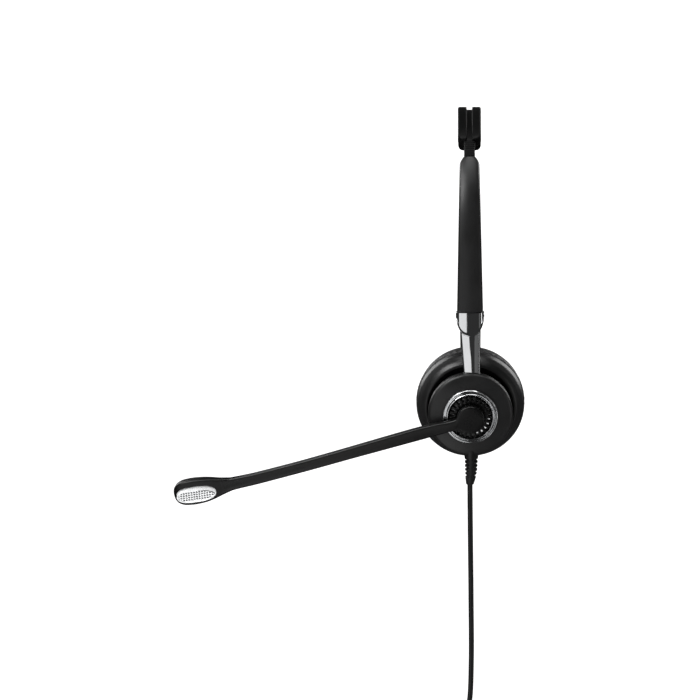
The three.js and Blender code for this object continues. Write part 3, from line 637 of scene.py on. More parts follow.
# Its thickness swings with the ribs as a cosine, and it narrows a little halfway as a half sine.
def makeNeck(side, p):
    angles = np.linspace(band["padEnd"] - 0.4, band["neckEnd"] + 0.8, 110)
    share = np.linspace(0, 1, len(angles))
    pinch = 1 - (1 - p["waist"]) * np.sin(math.pi * share)
    w = p["width"] / 2 * pinch
    t = p["thickness"] / 2 * pinch + p["ribDepth"] * np.cos(2 * math.pi * p["ribs"] * share)
    outlines = roundedBox(w, t, p["corner"], 5)
    piece = swept(side + "_neck", sideStations(side, crownStation(angles)), outlines, 50)
    finishPiece(piece, None, "pad_rubber")
    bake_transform(piece)


for side in sides:
    makeNeck(side, neck)
print("crown and necks")


# arm covers: two shallow shells that meet in a fine line down each edge
# The width grows fast over the shoulder as a power of the way, then evenly to the foot.
def armWidth(distance, p):
    rise = np.clip(distance / p["shoulder"], 0, 1) ** 0.6
    share = np.clip((distance - p["shoulder"]) / (p["length"] - p["shoulder"]), 0, 1)
    return (p["neckWidth"] + (p["topWidth"] - p["neckWidth"]) * rise
            + (p["bottomWidth"] - p["topWidth"]) * share)


# A trough's outline: an outer skin whose back is a low arc, and an inner skin a wall inside it.
def armOutline(width, thickness, wall):
    w, t, edge = width / 2, thickness / 2, 0.12 * mm
    arc = [(0.86 * w * k, t - 0.8 * mm * k * k) for k in np.linspace(-1, 1, 13)]
    inner = [(w - wall, edge), (w - wall, t - 1.5 * mm), (wall - w, t - 1.5 * mm), (wall - w, edge)]
    points = corners((-w, edge), (-w, t - 2.1 * mm), *arc, (w, t - 2.1 * mm), (w, edge), *inner)
    radii = [0.15, 0.8] + [0.25] * len(arc) + [0.8, 0.15, 0, 0, 0, 0]
    return rounded(points, np.array(radii) * mm, 4)


def makeArmCovers(side, p):
    start = np.array([0, 0.15, 0.4, 0.8, 1.3, 1.9, 2.6, 3.4, 4.2]) * mm
    end = np.array([3, 1.5, 0.7, 0.3, 0.1, 0]) * mm
    distances = np.concatenate([start, np.linspace(5.2 * mm, p["length"] - 5 * mm, 60), p["length"] - end])
    # both ends are drawn in by a small round
    foot = 0.5 * mm * roundOff(p["length"] - distances, 0.5 * mm)
    width = armWidth(distances, p) - foot
    thickness = p["thickness"] * (1 - 0.28 * roundOff(distances, 1.3 * mm)) - foot
    outline = armOutline(width, thickness, p["wall"])
    for facing, name in ((1, "outer"), (-1, "inner")):
        stations = sideStations(side, armStation(distances))
        cover = swept(side + "_arm_" + name, stations, outline * np.array([1, facing]), 50)
        finishPiece(cover, side + "_arm", "soft_black", side + "_arm_" + name + "_cover")


# sleeve: the plated end of the arm, scalloped to a tongue on each face
sleeve = {"width": 13.7 * mm, "thickness": 7.2 * mm, "wall": 0.9 * mm, "length": 12.3 * mm, "waist": 1.4 * mm,
          "rim": 0.45 * mm, "bow": 0.55 * mm, "corner": 2.2 * mm, "start": 0.15 * mm,
          "bead": 0.06, "beadAt": 0.7 * mm, "beadHalf": 0.5 * mm}


# The lower edge by the place across: half an ellipse on each face, so the sides stay short.
def sleeveEdge(x, p):
    share = np.clip(np.abs(x) / (p["width"] / 2), 0, 1)
    return p["waist"] + (p["length"] - p["waist"]) * np.sqrt(1 - share ** 2.4)


# A rounded box outline whose two broad faces bow outward.
def sleeveLoop(p, inset, count):
    w, t = p["width"] / 2 - inset, p["thickness"] / 2 - inset
    loop = resample(roundedBox(w, t, p["corner"] - 0.7 * inset, 6), count, True)
    loop[:, 1] *= 1 + p["bow"] / t * (1 - (loop[:, 0] / w) ** 2)
    return loop


def makeSleeve(side, p):
    down = np.linspace(0, 1, 40)
    # a closed skin: down the outside, round the rim and up the inside
    share = np.concatenate([down[:-1], np.ones(5), down[::-1][1:]])
    inside = np.concatenate([0 * down[:-1], [0, 0.15, 0.5, 0.85, 1], 0 * down[1:] + 1])
    lift = np.concatenate([0 * down[:-1], [0.5, 0.15, 0, 0.15, 0.5], 0 * down[1:]]) * p["rim"]
    outer, inner = sleeveLoop(p, 0, 96), sleeveLoop(p, p["wall"], 96)
    loop = outer + (inner - outer) * inside[:, None, None]
    along = p["start"] + (sleeveEdge(loop[..., 0], p) - p["start"]) * share[:, None] - lift[:, None]
    # a bead stands up along the scalloped edge
    fromEdge = sleeveEdge(loop[..., 0], p) - along
    bead = p["bead"] * np.exp(-((fromEdge - p["beadAt"]) / p["beadHalf"]) ** 2) * (1 - inside)[:, None]
    loop = loop * (1 + bead)[..., None]
    at, across, outward = armStation(arm["length"])
    grid = at + loop[..., :1] * across + loop[..., 1:] * outward + along[..., None] * alongAt(bendEnd)
    piece = meshObject(side + "_sleeve", onSide(side, grid), gridFaces(*grid.shape[:2], loopRows=True), 40)
    finishPiece(piece, side + "_arm", "chrome", side + "_arm_sleeve")


# slider: the plated blade from inside the arm to the housing, bowed on both faces
# Each face is a parabola across; the width steps out at the shoulder and shrinks evenly to the housing.
def makeSlider(side, p):
    cupAt = p["straight"] + p["turn"] + p["below"]
    foot = cupAt - p["housingEdge"]
    distances = np.concatenate([np.linspace(-p["inArm"], p["shoulder"] - 0.1 * mm, 20),
                                np.linspace(p["shoulder"], foot, 50),
                                [foot + 4 * mm, cupAt - p["inHousing"]]])
    inArm = distances < p["shoulder"]
    share = np.clip((distances - p["shoulder"]) / (foot - p["shoulder"]), 0, 1)
    w = (np.where(inArm, p["tongue"], p["width"] + (p["foot"] - p["width"]) * share) / 2)[:, None]
    t = (np.where(inArm, p["tongueThickness"], p["thickness"] - 0.6 * mm) / 2)[:, None]
    bow = np.where(inArm, 0.05 * mm, p["crown"])[:, None]
    k = np.linspace(-0.82, 0.82, 11)
    face = np.stack([w * k, t + bow * (1 - k * k)], -1)
    edge = np.stack([w, 0 * w], -1)
    outline = np.concatenate([-edge, face, edge, -face], 1)
    outline = rounded(outline, np.array(([0.9] + [0.2] * len(k)) * 2) * mm, 3)
    outline[..., 0] += p["shift"] * share[:, None]
    piece = swept(side + "_slider_blade", sideStations(side, sliderStation(distances)), outline, 40)
    finishPiece(piece, side + "_housing", "chrome", side + "_slider")


for side in sides:
    makeArmCovers(side, arm)
    makeSleeve(side, sleeve)
    makeSlider(side, slider)
print("arms, sleeves and sliders")


# housings: turned shells of the round body on each slider, by radius and height in millimetres
housing = {
    "rear": [(0, 2.2), (19.4, 2.2), (20.3, 2.5), (21.5, 4.2), (21.5, 8.0), (20.2, 8.0), (20.0, 4.3),
             (19.0, 3.5), (0, 3.5)],
    "front": [(5.3, 10.2), (14, 9.9), (18.2, 9.1), (19.9, 8.3), (21.5, 8.3), (21.5, 9.1), (20.6, 10.0),
              (18, 10.75), (14.5, 11.4), (5.3, 11.4)],
    "ring": [(5.4, 11.7), (5.4, 12.1), (8.6, 12.12), (10.1, 12.4), (10.9, 13.05), (11.25, 13.75),
             (11.65, 14.0), (12.1, 13.75), (12.4, 12.9), (12.75, 12.55), (13.1, 12.8), (13.4, 13.3),
             (13.75, 13.3), (14.1, 12.6), (14.15, 11.7)],
    "cap": [(0, 12.4), (10.6, 12.4), (10.6, 13.2), (9.2, 14.05), (5, 14.5), (0, 14.6)],
}


# A profile with rounded corners; one that is not a loop keeps its two ends on the axis.
def turnedProfile(points, corner, steps=5, loop=False):
    return rounded(np.array(points) * mm, corner * mm, steps, loop)


def makeHousing(side, p):
    place, body = onCup(side), side + "_housing"
    rear = turned(side + "_rear_shell", turnedProfile(p["rear"], 0.8), place)
    finishPiece(rear, body, "satin_black", side + "_housing_rear_shell")
    front = turned(side + "_front_shell", turnedProfile(p["front"], 0.9, 6, True), place, loop=True)
    finishPiece(front, body, "soft_black", side + "_housing_front_shell")
    profile = turnedProfile(p["ring"], 0.35, 5, True)
    ring = turned(side + "_plated_ring", profile, place, loop=True, segments=192, sharp=60)
    finishPiece(ring, body, "chrome", side + "_chrome_ring")


for side in sides:
    makeHousing(side, housing)
rightCap = turned("right_cap", turnedProfile(housing["cap"], 1.0, 6), onCup("right"))
finishPiece(rightCap, "right_housing", "soft_black", "right_housing_cap")


# toothed ring: its radius swings between root and tip as a flattened cosine of the angle
toothed = {"teeth": 24, "root": 8.5 * mm, "tip": 10.7 * mm, "bore": 6.6 * mm, "low": 12.5 * mm,
           "high": 13.75 * mm, "round": 0.22 * mm}


def makeToothedRing(p):
    angle = np.linspace(0, 2 * math.pi, p["teeth"] * 20, endpoint=False)
    lift = 0.5 + 0.5 * np.tanh(4 * (np.cos(p["teeth"] * angle) - 0.1)) / math.tanh(4)
    radius = p["root"] + (p["tip"] - p["root"]) * lift
    bore, low, high, r = p["bore"], p["low"], p["high"], p["round"]
    loop = corners((bore, low), (bore, high - r), (bore + r, high), ((bore + radius) / 2, high),
                   (radius - 2 * r, high), (radius - 0.6 * r, high - 0.5 * r), (radius, high - 1.4 * r),
                   (radius, low + 0.55 * mm * lift), (p["root"] - 0.3 * mm, low))
    x, y = np.cos(angle)[:, None], np.sin(angle)[:, None]
    grid = onCup("left")(loop[..., 0] * x, loop[..., 0] * y, loop[..., 1])
    piece = meshObject("toothed_ring", grid, gridFaces(*grid.shape[:2], loopRows=True), 50)
    finishPiece(piece, "left_housing", "satin_black", "detent_ring")


makeToothedRing(toothed)
print("housings")


# ear plates: the dished back of each ear piece; the dish, in deep shade, is marked for painted shade, its colour
# darkened to near black
plate = {"profile": [(0, -7.1), (16.2, -7.1), (25.0, -10.1), (25.5, -11.6), (27.4, -11.6), (27.6, -9.8),
                     (26.8, -6.4), (25.1, -3.4), (23.2, -1.45), (21.9, -1.3), (20.7, -2.2), (19.8, -6.1),
                     (0, -6.1)],
         "dish": 22.2 * mm, "lip": -1.2 * mm}


def makeEarPlate(side, p):
    profile = turnedProfile(p["profile"], 0.8)
    # the dish's points are marked to get painted shade, near black
    recess = (profile[:, 0] < p["dish"]) & (profile[:, 1] < p["lip"])
    piece = turned(side + "_dished_plate", profile, onCup(side, earRise), segments=160, sharp=50,
                   values={"recess": recess})
    finishPiece(piece, side + "_ear_piece", "soft_black", side + "_ear_plate")


# baffle under each cushion: rings of round pits in a flat disc
baffle = {"radius": 24.3 * mm, "low": -11.35 * mm, "high": -10.6 * mm, "pit": 0.45 * mm, "depth": 0.5 * mm,
          "rings": 5, "pitch": 2.0 * mm}


def makeBaffle(side, p):
    radii = np.concatenate([np.linspace(0, 11.5 * mm, 90), [16 * mm, p["radius"] - 0.3 * mm, p["radius"]]])
    angle = np.linspace(0, 2 * math.pi, 240, endpoint=False)
    x, y = np.outer(radii, np.cos(angle)), np.outer(radii, np.sin(angle))
    # one pit in the middle, and six more on each ring than on the one inside it
    pits = [(ring, i * 2 * math.pi / max(6 * ring, 1))
            for ring in range(p["rings"] + 1) for i in range(max(6 * ring, 1))]
    ring, turn = np.array(pits).T
    pitX, pitY = ring * p["pitch"] * np.cos(turn), ring * p["pitch"] * np.sin(turn)
    reach = np.hypot(x[..., None] - pitX, y[..., None] - pitY)
    z = p["low"] + p["depth"] * softStep(-reach.min(-1), -p["pit"], 0.06 * mm)
    x, y = (np.vstack([value, value[-1:], 0 * value[-1:]]) for value in (x, y))
    z = np.vstack([z, 0 * z[:2] + p["high"]])
    piece = meshObject(side + "_baffle", onCup(side, earRise)(x, y, z), gridFaces(*x.shape, caps=False), 60)
    finishPiece(piece, side + "_ear_piece", "satin_black", side + "_driver_baffle")


for side in sides:
    makeEarPlate(side, plate)
    makeBaffle(side, baffle)
print("ear plates and baffles")


# ear cushions: a ring swollen by cloth, with a stitched seam and puckers towards it
cushion = {"profile": [(9.9, -12.1), (9.9, -19.0), (10.6, -21.6), (13.2, -23.4), (17.6, -24.1), (22.2, -23.5),
                       (25.5, -21.4), (27.4, -18.2), (27.8, -15.0), (27.4, -12.1)],
           "voxel": 1.15 * mm, "pressure": 4, "cap": 0.7 * mm, "puckers": 46, "puckerDepth": 0.22 * mm,
           "seam": 0.32 * mm, "seamAt": 0.3, "seamHalf": 0.018, "stitches": 150, "well": 9.7 * mm,
           "widest": 28.1 * mm, "under": -11.85 * mm, "face": -24.6 * mm}


def applyModifier(obj, name, kind, **values):
    modifier = obj.modifiers.new(name, kind)
    for key, value in values.items():
        setattr(modifier, key, value)
    bpy.context.view_layer.objects.active = obj
    bpy.ops.object.modifier_apply(modifier=modifier.name)


# Blows the ring up as pressed cloth, and keeps each point's move below the cap.
def swell(obj, p):
    applyModifier(obj, "remesh", "REMESH", mode="VOXEL", voxel_size=p["voxel"])
    start = readPoints(obj.data)
    cloth = obj.modifiers.new("cloth", "CLOTH")
    cloth.settings.use_pressure = True
    cloth.settings.uniform_pressure_force = p["pressure"]
    cloth.settings.effector_weights.gravity = 0
    cloth.settings.quality = 5
    for number in range(1, 21):
        bpy.context.scene.frame_set(number)
    bpy.context.view_layer.objects.active = obj
    bpy.ops.object.modifier_apply(modifier=cloth.name)
    move = readPoints(obj.data) - start
    bpy.context.scene.frame_set(1)
    size = np.linalg.norm(move, axis=1, keepdims=True)
    end = start + move * np.minimum(1, p["cap"] / np.maximum(size, 1e-9))
    obj.data.vertices.foreach_set("co", end.ravel())


def makeCushion(side, p):
    profile = turnedProfile(p["profile"], 1.2, 4, True)
    pad = turned(side + "_cushion", profile, onCup(side, earRise), loop=True, segments=120, sharp=180)
    swell(pad, p)
    applyModifier(pad, "smooth", "SUBSURF", levels=1, render_levels=1)
    local, turn = inCup(side, readPoints(pad.data), earRise)
    radius, angle = np.hypot(local[:, 0], local[:, 1]), np.arctan2(local[:, 1], local[:, 0])
    depth = np.clip((-local[:, 2] - 12 * mm) / (12 * mm), 0, 1)
    # puckers: two waves round the ring, fading away from the plate and from the well
    drift = 1.3 * np.sin(5 * angle)
    wave = 0.6 * np.cos(p["puckers"] * angle) + 0.4 * np.cos((p["puckers"] + 17) * angle + drift)
    fade = np.exp(-((depth - 0.05) / 0.16) ** 2) + 0.8 * np.exp(-((radius - 11 * mm) / (2.2 * mm)) ** 2)
    # a stitched seam sunk into the outer face, a third of the way down
    seam = np.exp(-((depth - p["seamAt"]) / p["seamHalf"]) ** 2) * (radius > 20 * mm)
    seam = seam * (0.775 + 0.225 * np.cos(p["stitches"] * angle))
    inward = p["puckerDepth"] * wave * fade + p["seam"] * seam
    moved = np.clip(radius + np.where(radius > 18 * mm, -1, 1) * inward, p["well"], p["widest"])
    local[:, :2] *= (moved / np.maximum(radius, 1e-9))[:, None]
    local[:, 2] = np.clip(local[:, 2], p["face"], p["under"])
    pad.data.vertices.foreach_set("co", (local @ turn + onCup(side, earRise)(0, 0, 0)).ravel())
    pad.data.update()
    pad.data.shade_smooth()
    finishPiece(pad, side + "_ear_piece", "leatherette", side + "_ear_cushion")


for side in sides:
    makeCushion(side, cushion)
print("cushions")


# boom: hub and arm in one skin; its middle line is given in the cup's frame, in millimetres
boom = {"hub": 7.1 * mm, "low": 14.4 * mm, "high": 19.4 * mm, "corner": 1.1 * mm, "fillet": 2.6 * mm,
        "rootEnd": 0.12, "crown": 0.12 * mm, "lean": 13}
boomPath = np.array([(-1.5, -3, 16.9), (-8, -3.1, 16.9), (-15.1, -4.6, 16.8), (-24, -7, 16.6),
                     (-35, -10.2, 16.3), (-59.1, -17.5, 15.2), (-82.8, -24.9, 13.4), (-106.5, -32.0, 11.1),
                     (-118.4, -35.2, 9.8), (-134.7, -39.3, 8), (-151.1, -42.3, 6.1)]) * mm
# share of the line, half height across and half thickness in millimetres
boomSections = np.array([(0, 2.5, 2.2), (0.05, 2.6, 2.2), (0.1, 2.95, 2.2), (0.17, 3.2, 2.1),
                         (0.25, 3.15, 2.05), (0.42, 2.95, 2), (0.58, 2.9, 1.95), (0.74, 3, 1.95),
                         (0.802, 3.2, 2), (0.821, 3.7, 2.15), (0.841, 4.33, 2.4), (0.872, 5.5, 2.9),
                         (0.903, 6.25, 3.2), (0.933, 6.5, 3.3), (0.963, 6.2, 3.2), (0.984, 5.1, 2.8),
                         (0.9947, 3.5, 2.1), (0.9985, 2.1, 1.5), (1, 0.9, 0.8)])
boomLine = resample(catmull(boomPath, 40), 640)
boomSteps = np.concatenate([[0], np.cumsum(np.linalg.norm(np.diff(boomLine, axis=0), axis=1))])


# The smooth greater of two values, which leaves a fillet where they cross.
def smoothMax(a, b, radius):
    near = np.maximum(radius - np.abs(a - b), 0) / radius
    return np.maximum(a, b) + near * near * radius / 4


# A smooth curve through the sections: cubic Hermite with monotone slopes.
def sectionAt(share, column):
    xs, ys = boomSections[:, 0], boomSections[:, column]
    slopes = np.diff(ys) / np.diff(xs)
    product, total = slopes[:-1] * slopes[1:], slopes[:-1] + slopes[1:]
    inner = np.where(product > 0, 2 * product / np.where(product > 0, total, 1), 0)
    tangents = np.concatenate([slopes[:1], inner, slopes[-1:]])
    i = np.clip(np.searchsorted(xs, share) - 1, 0, len(xs) - 2)
    width = xs[i + 1] - xs[i]
    t = (share - xs[i]) / width
    return ((2 * t ** 3 - 3 * t * t + 1) * ys[i] + (t ** 3 - 2 * t * t + t) * width * tangents[i]
            + (3 * t * t - 2 * t ** 3) * ys[i + 1] + (t ** 3 - t * t) * width * tangents[i + 1]) * mm


# A point of the middle line by its distance from the hub's end.
def onBoomLine(place):
    place = np.clip(place, 0, boomSteps[-1])
    return np.stack([np.interp(place, boomSteps, boomLine[:, k]) for k in range(3)], -1)


# The middle line's place, direction, level crosswise direction and the direction square to both.
def boomFrame(share):
    place = np.asarray(share) * boomSteps[-1]
    along = onBoomLine(place + 0.5 * mm) - onBoomLine(place - 0.5 * mm)
    along /= np.linalg.norm(along, axis=-1, keepdims=True)
    across = np.cross([0, 0, 1], along)
    across /= np.linalg.norm(across, axis=-1, keepdims=True)
    return onBoomLine(place), along, across, np.cross(along, across)


def cupToWorld(vectors):
    return vectors @ np.array([xAxis, cupUp, cupOut])


# An outline between two edges and two heights, its corners rounded and its outer face crowned.
def boomOutline(low, high, bottom, top, p):
    edge = top - 0.15 * mm
    points = corners((low, bottom), (low, edge), ((low + high) / 2, top + p["crown"]), (high, edge),
                     (high, bottom))
    r = np.minimum(p["corner"], 0.45 * np.minimum(high - low, top - bottom))
    return rounded(points, np.stack([r, r, 0.4 * (high - low), r, r], -1), 7)


# The root: cuts across x from the hub's far edge to where the arm has left the hub.
def boomRoot(p):
    handover = boomFrame(p["rootEnd"])[0][0]
    bend = np.linspace(0, math.pi / 2, 22)[1:]
    x = np.concatenate([p["hub"] * np.cos(bend), np.linspace(-0.4 * mm, handover, 50)])
    circle = np.sqrt(np.maximum(p["hub"] ** 2 - x * x, 0))
    # the arm's middle line at this x, held level inside the hub
    share = np.interp(-np.minimum(x, -1.5 * mm), -boomLine[:, 0], boomSteps) / boomSteps[-1]
    centre = onBoomLine(share * boomSteps[-1])
    fade = np.clip((1.5 * mm - x) / (4 * mm), 0, 1)
    reach = 1.02 * sectionAt(share, 1) * fade
    armHigh, armLow = centre[:, 1] + reach, centre[:, 1] - reach
    upper = smoothMax(circle, np.where(fade > 0, armHigh, -1), p["fillet"])
    lower = -smoothMax(circle, np.where(fade > 0, -armLow, -1), p["fillet"])
    blend = (1 - np.clip((-p["hub"] - x) / (5 * mm), 0, 1)) ** 2
    upper, lower = (np.where(x < -p["hub"], edge + (value - edge) * blend, value)
                    for edge, value in ((armHigh, upper), (armLow, lower)))
    # how far the cut is the hub's rather than the arm's, eased at both ends
    k = np.clip((x - handover) / (-6 * mm - handover), 0, 1)
    k = k * k * (3 - 2 * k)
    thick = sectionAt(share, 2)
    drop = 1.2 * mm * roundOff(p["hub"] - x, 1.2 * mm)
    bottom = (centre[:, 2] - thick) * (1 - k) + p["low"] * k + 0.5 * drop
    top = (centre[:, 2] + thick) * (1 - k) + p["high"] * k - drop
    tilt = np.radians(p["lean"]) * (1 - k)[:, None]
    middle = (lower + upper) / 2
    outline = boomOutline(lower - middle, upper - middle, bottom, top, p)
    across = cupUp * np.cos(tilt) - xAxis * np.sin(tilt)
    return onCup("left")(x, middle, 0 * x), across, cupOut + 0 * tilt, outline


# The arm: cuts square to its middle line, closing over the tip.
def boomArm(p):
    share = np.concatenate([np.linspace(p["rootEnd"] + 0.006, 0.78, 110), np.linspace(0.785, 0.98, 60),
                            [0.984, 0.988, 0.991, 0.994, 0.996, 0.998, 0.9993, 1]])
    at, _, across, outward = boomFrame(share)
    half, thick = sectionAt(share, 1), sectionAt(share, 2)
    outline = boomOutline(-half, half, -thick, thick, p)
    return cupCentre + cupToWorld(at), cupToWorld(-across), cupToWorld(outward), outline


def makeBoom(p):
    at, across, outward, outline = (np.concatenate(pair) for pair in zip(boomRoot(p), boomArm(p)))
    return swept("boom_arm", (at, across, outward), outline, 50)


# the grille's leaf: its half width falls off as a superellipse with its own powers towards tip and tail
leaf = {"tip": 9.3 * mm, "tail": -11.4 * mm, "half": 4.1 * mm, "shift": 1.15 * mm, "head": 0.93}
headAt, headAlong, headAcross, headOut = boomFrame(leaf["head"])


# The leaf's two edges at a place along it.
def leafEdges(x, p, grow=0.0):
    middle, reach = (p["tip"] + p["tail"]) / 2, (p["tip"] - p["tail"]) / 2
    share = np.clip((x - middle) / reach, -1, 1)
    power, root = np.where(share > 0, 3, 2.2), np.where(share > 0, 0.35, 0.45)
    half = p["half"] * (1 - np.abs(share) ** power) ** root
    return p["shift"] - half - grow, p["shift"] + half + grow


# The leaf's outline as a loop, grown all round.
def leafOutline(p, grow):
    middle, reach = (p["tip"] + p["tail"]) / 2, (p["tip"] - p["tail"]) / 2
    shares = -np.cos(np.linspace(0, math.pi, 64))
    low, high = leafEdges(middle + reach * shares, p, grow)
    x = middle + (reach + grow) * shares
    low[[0, -1]] = high[[0, -1]] = p["shift"]
    return np.vstack([np.column_stack([x, high]), np.column_stack([x, low])[::-1][1:-1]])


# The head's frame: x to the tip, y across with down positive, z out of the outer face.
def onHead(x, y, z):
    x, y, z = (np.asarray(value)[..., None] for value in (x, y, z))
    return cupCentre + cupToWorld(headAt + headAlong * x + headAcross * y + headOut * z)


# Sinks a pocket a little larger than the leaf into both faces of the head.
def cutPocket(piece, p):
    x, y = leafOutline(p, 0.22 * mm).T
    for low, high in ((1.9 * mm, 6 * mm), (-6 * mm, -1.9 * mm)):
        grid = onHead(np.stack([x, x]), np.stack([y, y]), np.stack([0 * x + low, 0 * x + high]))
        tool = meshObject("pocket_tool", grid, gridFaces(2, len(x)))
        applyModifier(piece, "pocket", "BOOLEAN", operation="DIFFERENCE", solver="EXACT", object=tool)
        bpy.data.objects.remove(tool)
    piece.data.shade_smooth()
    piece.data.set_sharp_from_angle(angle=math.radians(38))


boomPiece = makeBoom(boom)
cutPocket(boomPiece, leaf)
finishPiece(boomPiece, "boom_arm", "satin_black", "boom")


# microphone grilles: a plated frame, wide along its upper edge, round a sunk panel of pits, with painted shade in
# the pits and the groove
grille = {"rim": 0.55 * mm, "upperRim": 2.1 * mm, "top": 3.25 * mm, "base": 2.05 * mm, "sink": 0.55 * mm,
          "bevel": 0.95 * mm, "pitch": 1.37 * mm, "pit": 0.40 * mm, "pitDepth": 0.4 * mm, "groove": 0.75 * mm}


# Round pits on a slanted lattice, every second row moved by half a pitch.
def pitPattern(x, y, p):
    rowHeight = 0.86
    row, step = y / (rowHeight * p["pitch"]), (x + 0.45 * y) / p["pitch"]
    near = (step + 0.5 * np.floor(row + 0.5)) % 1
    reach = np.hypot(np.minimum(near, 1 - near), (row - np.floor(row + 0.5)) * rowHeight) * p["pitch"]
    return softStep(-reach, -p["pit"], 0.035 * mm)


# The face's height over the leaf: the rims' slopes, less the panel's sink and the depth of pits and groove.
def makeGrille(name, facing, p, shape, node):
    length = shape["tip"] - shape["tail"]
    x = shape["tail"] + length * (0.5 - 0.5 * np.cos(np.linspace(0.03, math.pi - 0.03, 240)))[:, None]
    low, high = leafEdges(x, shape)
    y = low + (high - low) * np.linspace(0, 1, 96)
    x = x + 0 * y
    fromUpper, fromLower, fromEnds = y - low, high - y, np.minimum(x - shape["tail"], shape["tip"] - x)
    along = (x - shape["tail"]) / length
    upperRim = p["upperRim"] * np.clip(1.25 - 0.45 * along, 0.4, 1)
    inside = softStep(fromUpper, upperRim, 0.05 * mm) * softStep(fromLower, p["rim"], 0.05 * mm)
    inside *= softStep(fromEnds, 0.9 * mm, 0.12 * mm)
    # the upper rim slopes down to its outer edge, so that it looks up
    z = p["top"] - p["bevel"] * np.clip(1 - fromUpper / upperRim, 0, 1) ** 1.3 - p["sink"] * inside
    z -= 0.35 * mm * np.clip(1 - fromLower / (0.5 * mm), 0, 1) ** 2
    # the pits get painted shade, near black, in place of the dark seen through the grille's holes
    pit = inside * pitPattern(x, y, p)
    pit *= (fromUpper > upperRim + 0.25 * mm) & (fromLower > p["rim"] + 0.3 * mm)
    # a sunk groove with painted shade runs below the upper rim, closing towards the middle
    groove = p["groove"] * np.clip(1 - 2 * along, 0, 1)
    pit = np.maximum(pit, inside * (groove > 0) * softStep(upperRim + groove - fromUpper, 0, 0.05 * mm))
    z -= p["pitDepth"] * pit
    # the last two columns close the loop below
    x, y = (np.hstack([value, value[:, -1:], value[:, :1]]) for value in (x, y))
    z = np.hstack([z, 0 * z[:, :2] + p["base"]])
    # the pit attribute carries the painted shade of the pits and the groove
    values = {"pit": np.hstack([pit, 0 * pit[:, :2]])}
    piece = meshObject(name, onHead(x, y, facing * z), gridFaces(*x.shape), 60, values)
    finishPiece(piece, "boom_arm", "chrome", node, finish=grilleFinish)


makeGrille("grille_outer", 1, grille, leaf, "mic_grille_outer")
makeGrille("grille_inner", -1, grille, leaf, "mic_grille_inner")
print("boom and grilles")


# A list of stations at even heights from its last to its first, each column smoothed over a few.
def evenStations(stations, count, width):
    stations = np.array(stations)
    height = np.linspace(stations[-1, 0], stations[0, 0], count)
    columns = (smoothed(np.interp(height, stations[:, 0], column), width) for column in stations.T[1:])
    return [column[:, None] for column in (height, *columns)]


# The distance from each height to the nearest of several evenly spaced ones.
def nearestStep(height, first, pitch, count):
    return np.abs(height - first + pitch * np.arange(count)).min(-1, keepdims=True)


# strain relief: a tapered oval sleeve, notched on both sides of a smooth spine, in millimetres
relief = {"stations": [(-37.2, -0.35, 1.95, 1.9), (-35.6, -0.2, 2.3, 2.1), (-33.5, 0.0, 2.7, 2.5),
                       (-30, 0.3, 3.1, 2.8), (-23.5, 0.35, 3.35, 2.9), (-20.4, 0.4, 3.9, 3.5),
                       (-18.5, 0.45, 4.6, 3.7), (-16.5, 0.5, 5.4, 4.0)],
          "notches": 5, "firstNotch": -24.3, "pitch": 2.05, "notchHalf": 0.42, "depth": 0.75, "spine": 0.42,
          "out": 6.9}


# An ellipse at each height, its radius cut by soft notches except near the spine.
def makeRelief(p):
    y, middle, across, out = evenStations(p["stations"], 170, 9)
    angle = np.linspace(0, 2 * math.pi, 72, endpoint=False)
    fromNotch = nearestStep(y, p["firstNotch"], p["pitch"], p["notches"])
    notch = softStep(-fromNotch, -p["notchHalf"], 0.06)
    r = 1 - p["depth"] / across * notch * softStep(np.abs(np.cos(angle)), p["spine"], 0.04)
    x, z = middle + across * r * np.cos(angle), p["out"] + out * r * np.sin(angle)
    grid = onCup("left")(x * mm, (y + 0 * x) * mm, z * mm)
    piece = meshObject("ribbed_relief", grid, gridFaces(*x.shape), 60)
    finishPiece(piece, "left_housing", "cord_rubber", "strain_relief")
    return piece


reliefPiece = makeRelief(relief)


# connector: a flattened oval grip with finger ridges, in millimetres below its top, and its contact tongue
connector = {"stations": [(-30.1, 4.4, 2.9), (-30, 4.7, 3.1), (-28, 5.55, 3.8), (-19.5, 5.15, 3.5),
                          (-11, 5.5, 3.75), (-9.2, 3.9, 3.0), (-8.6, 2.75, 2.5), (-0.3, 1.9, 1.9)],
             "ridges": 7, "ridgeFrom": -14, "ridgePitch": 1.6, "ridge": 0.28, "ridgeHalf": 0.45,
             "contacts": 4, "contactPitch": 1.5 * mm}


# An ellipse at each height, its broad sides swollen by each ridge as a bell curve.
def makeGrip(p, hang):
    z, w, t = evenStations(p["stations"], 200, 7)
    angle = np.linspace(0, 2 * math.pi, 72, endpoint=False)
    fromRidge = nearestStep(z, p["ridgeFrom"], p["ridgePitch"], p["ridges"])
    ridge = np.exp(-(fromRidge / p["ridgeHalf"]) ** 2)
    r = 1 + p["ridge"] / t * ridge * np.abs(np.sin(angle)) ** 3
    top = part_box("connector_body")[1][2]
    x, y = w * r * mm * np.cos(angle), hang + t * r * mm * np.sin(angle)
    grid = np.stack([x, y, top + (z + 0.3 + 0 * x) * mm], -1)
    piece = meshObject("connector_grip", grid, gridFaces(*x.shape), 60)
    finishPiece(piece, "left_housing", "satin_black", "connector_body")
    return piece


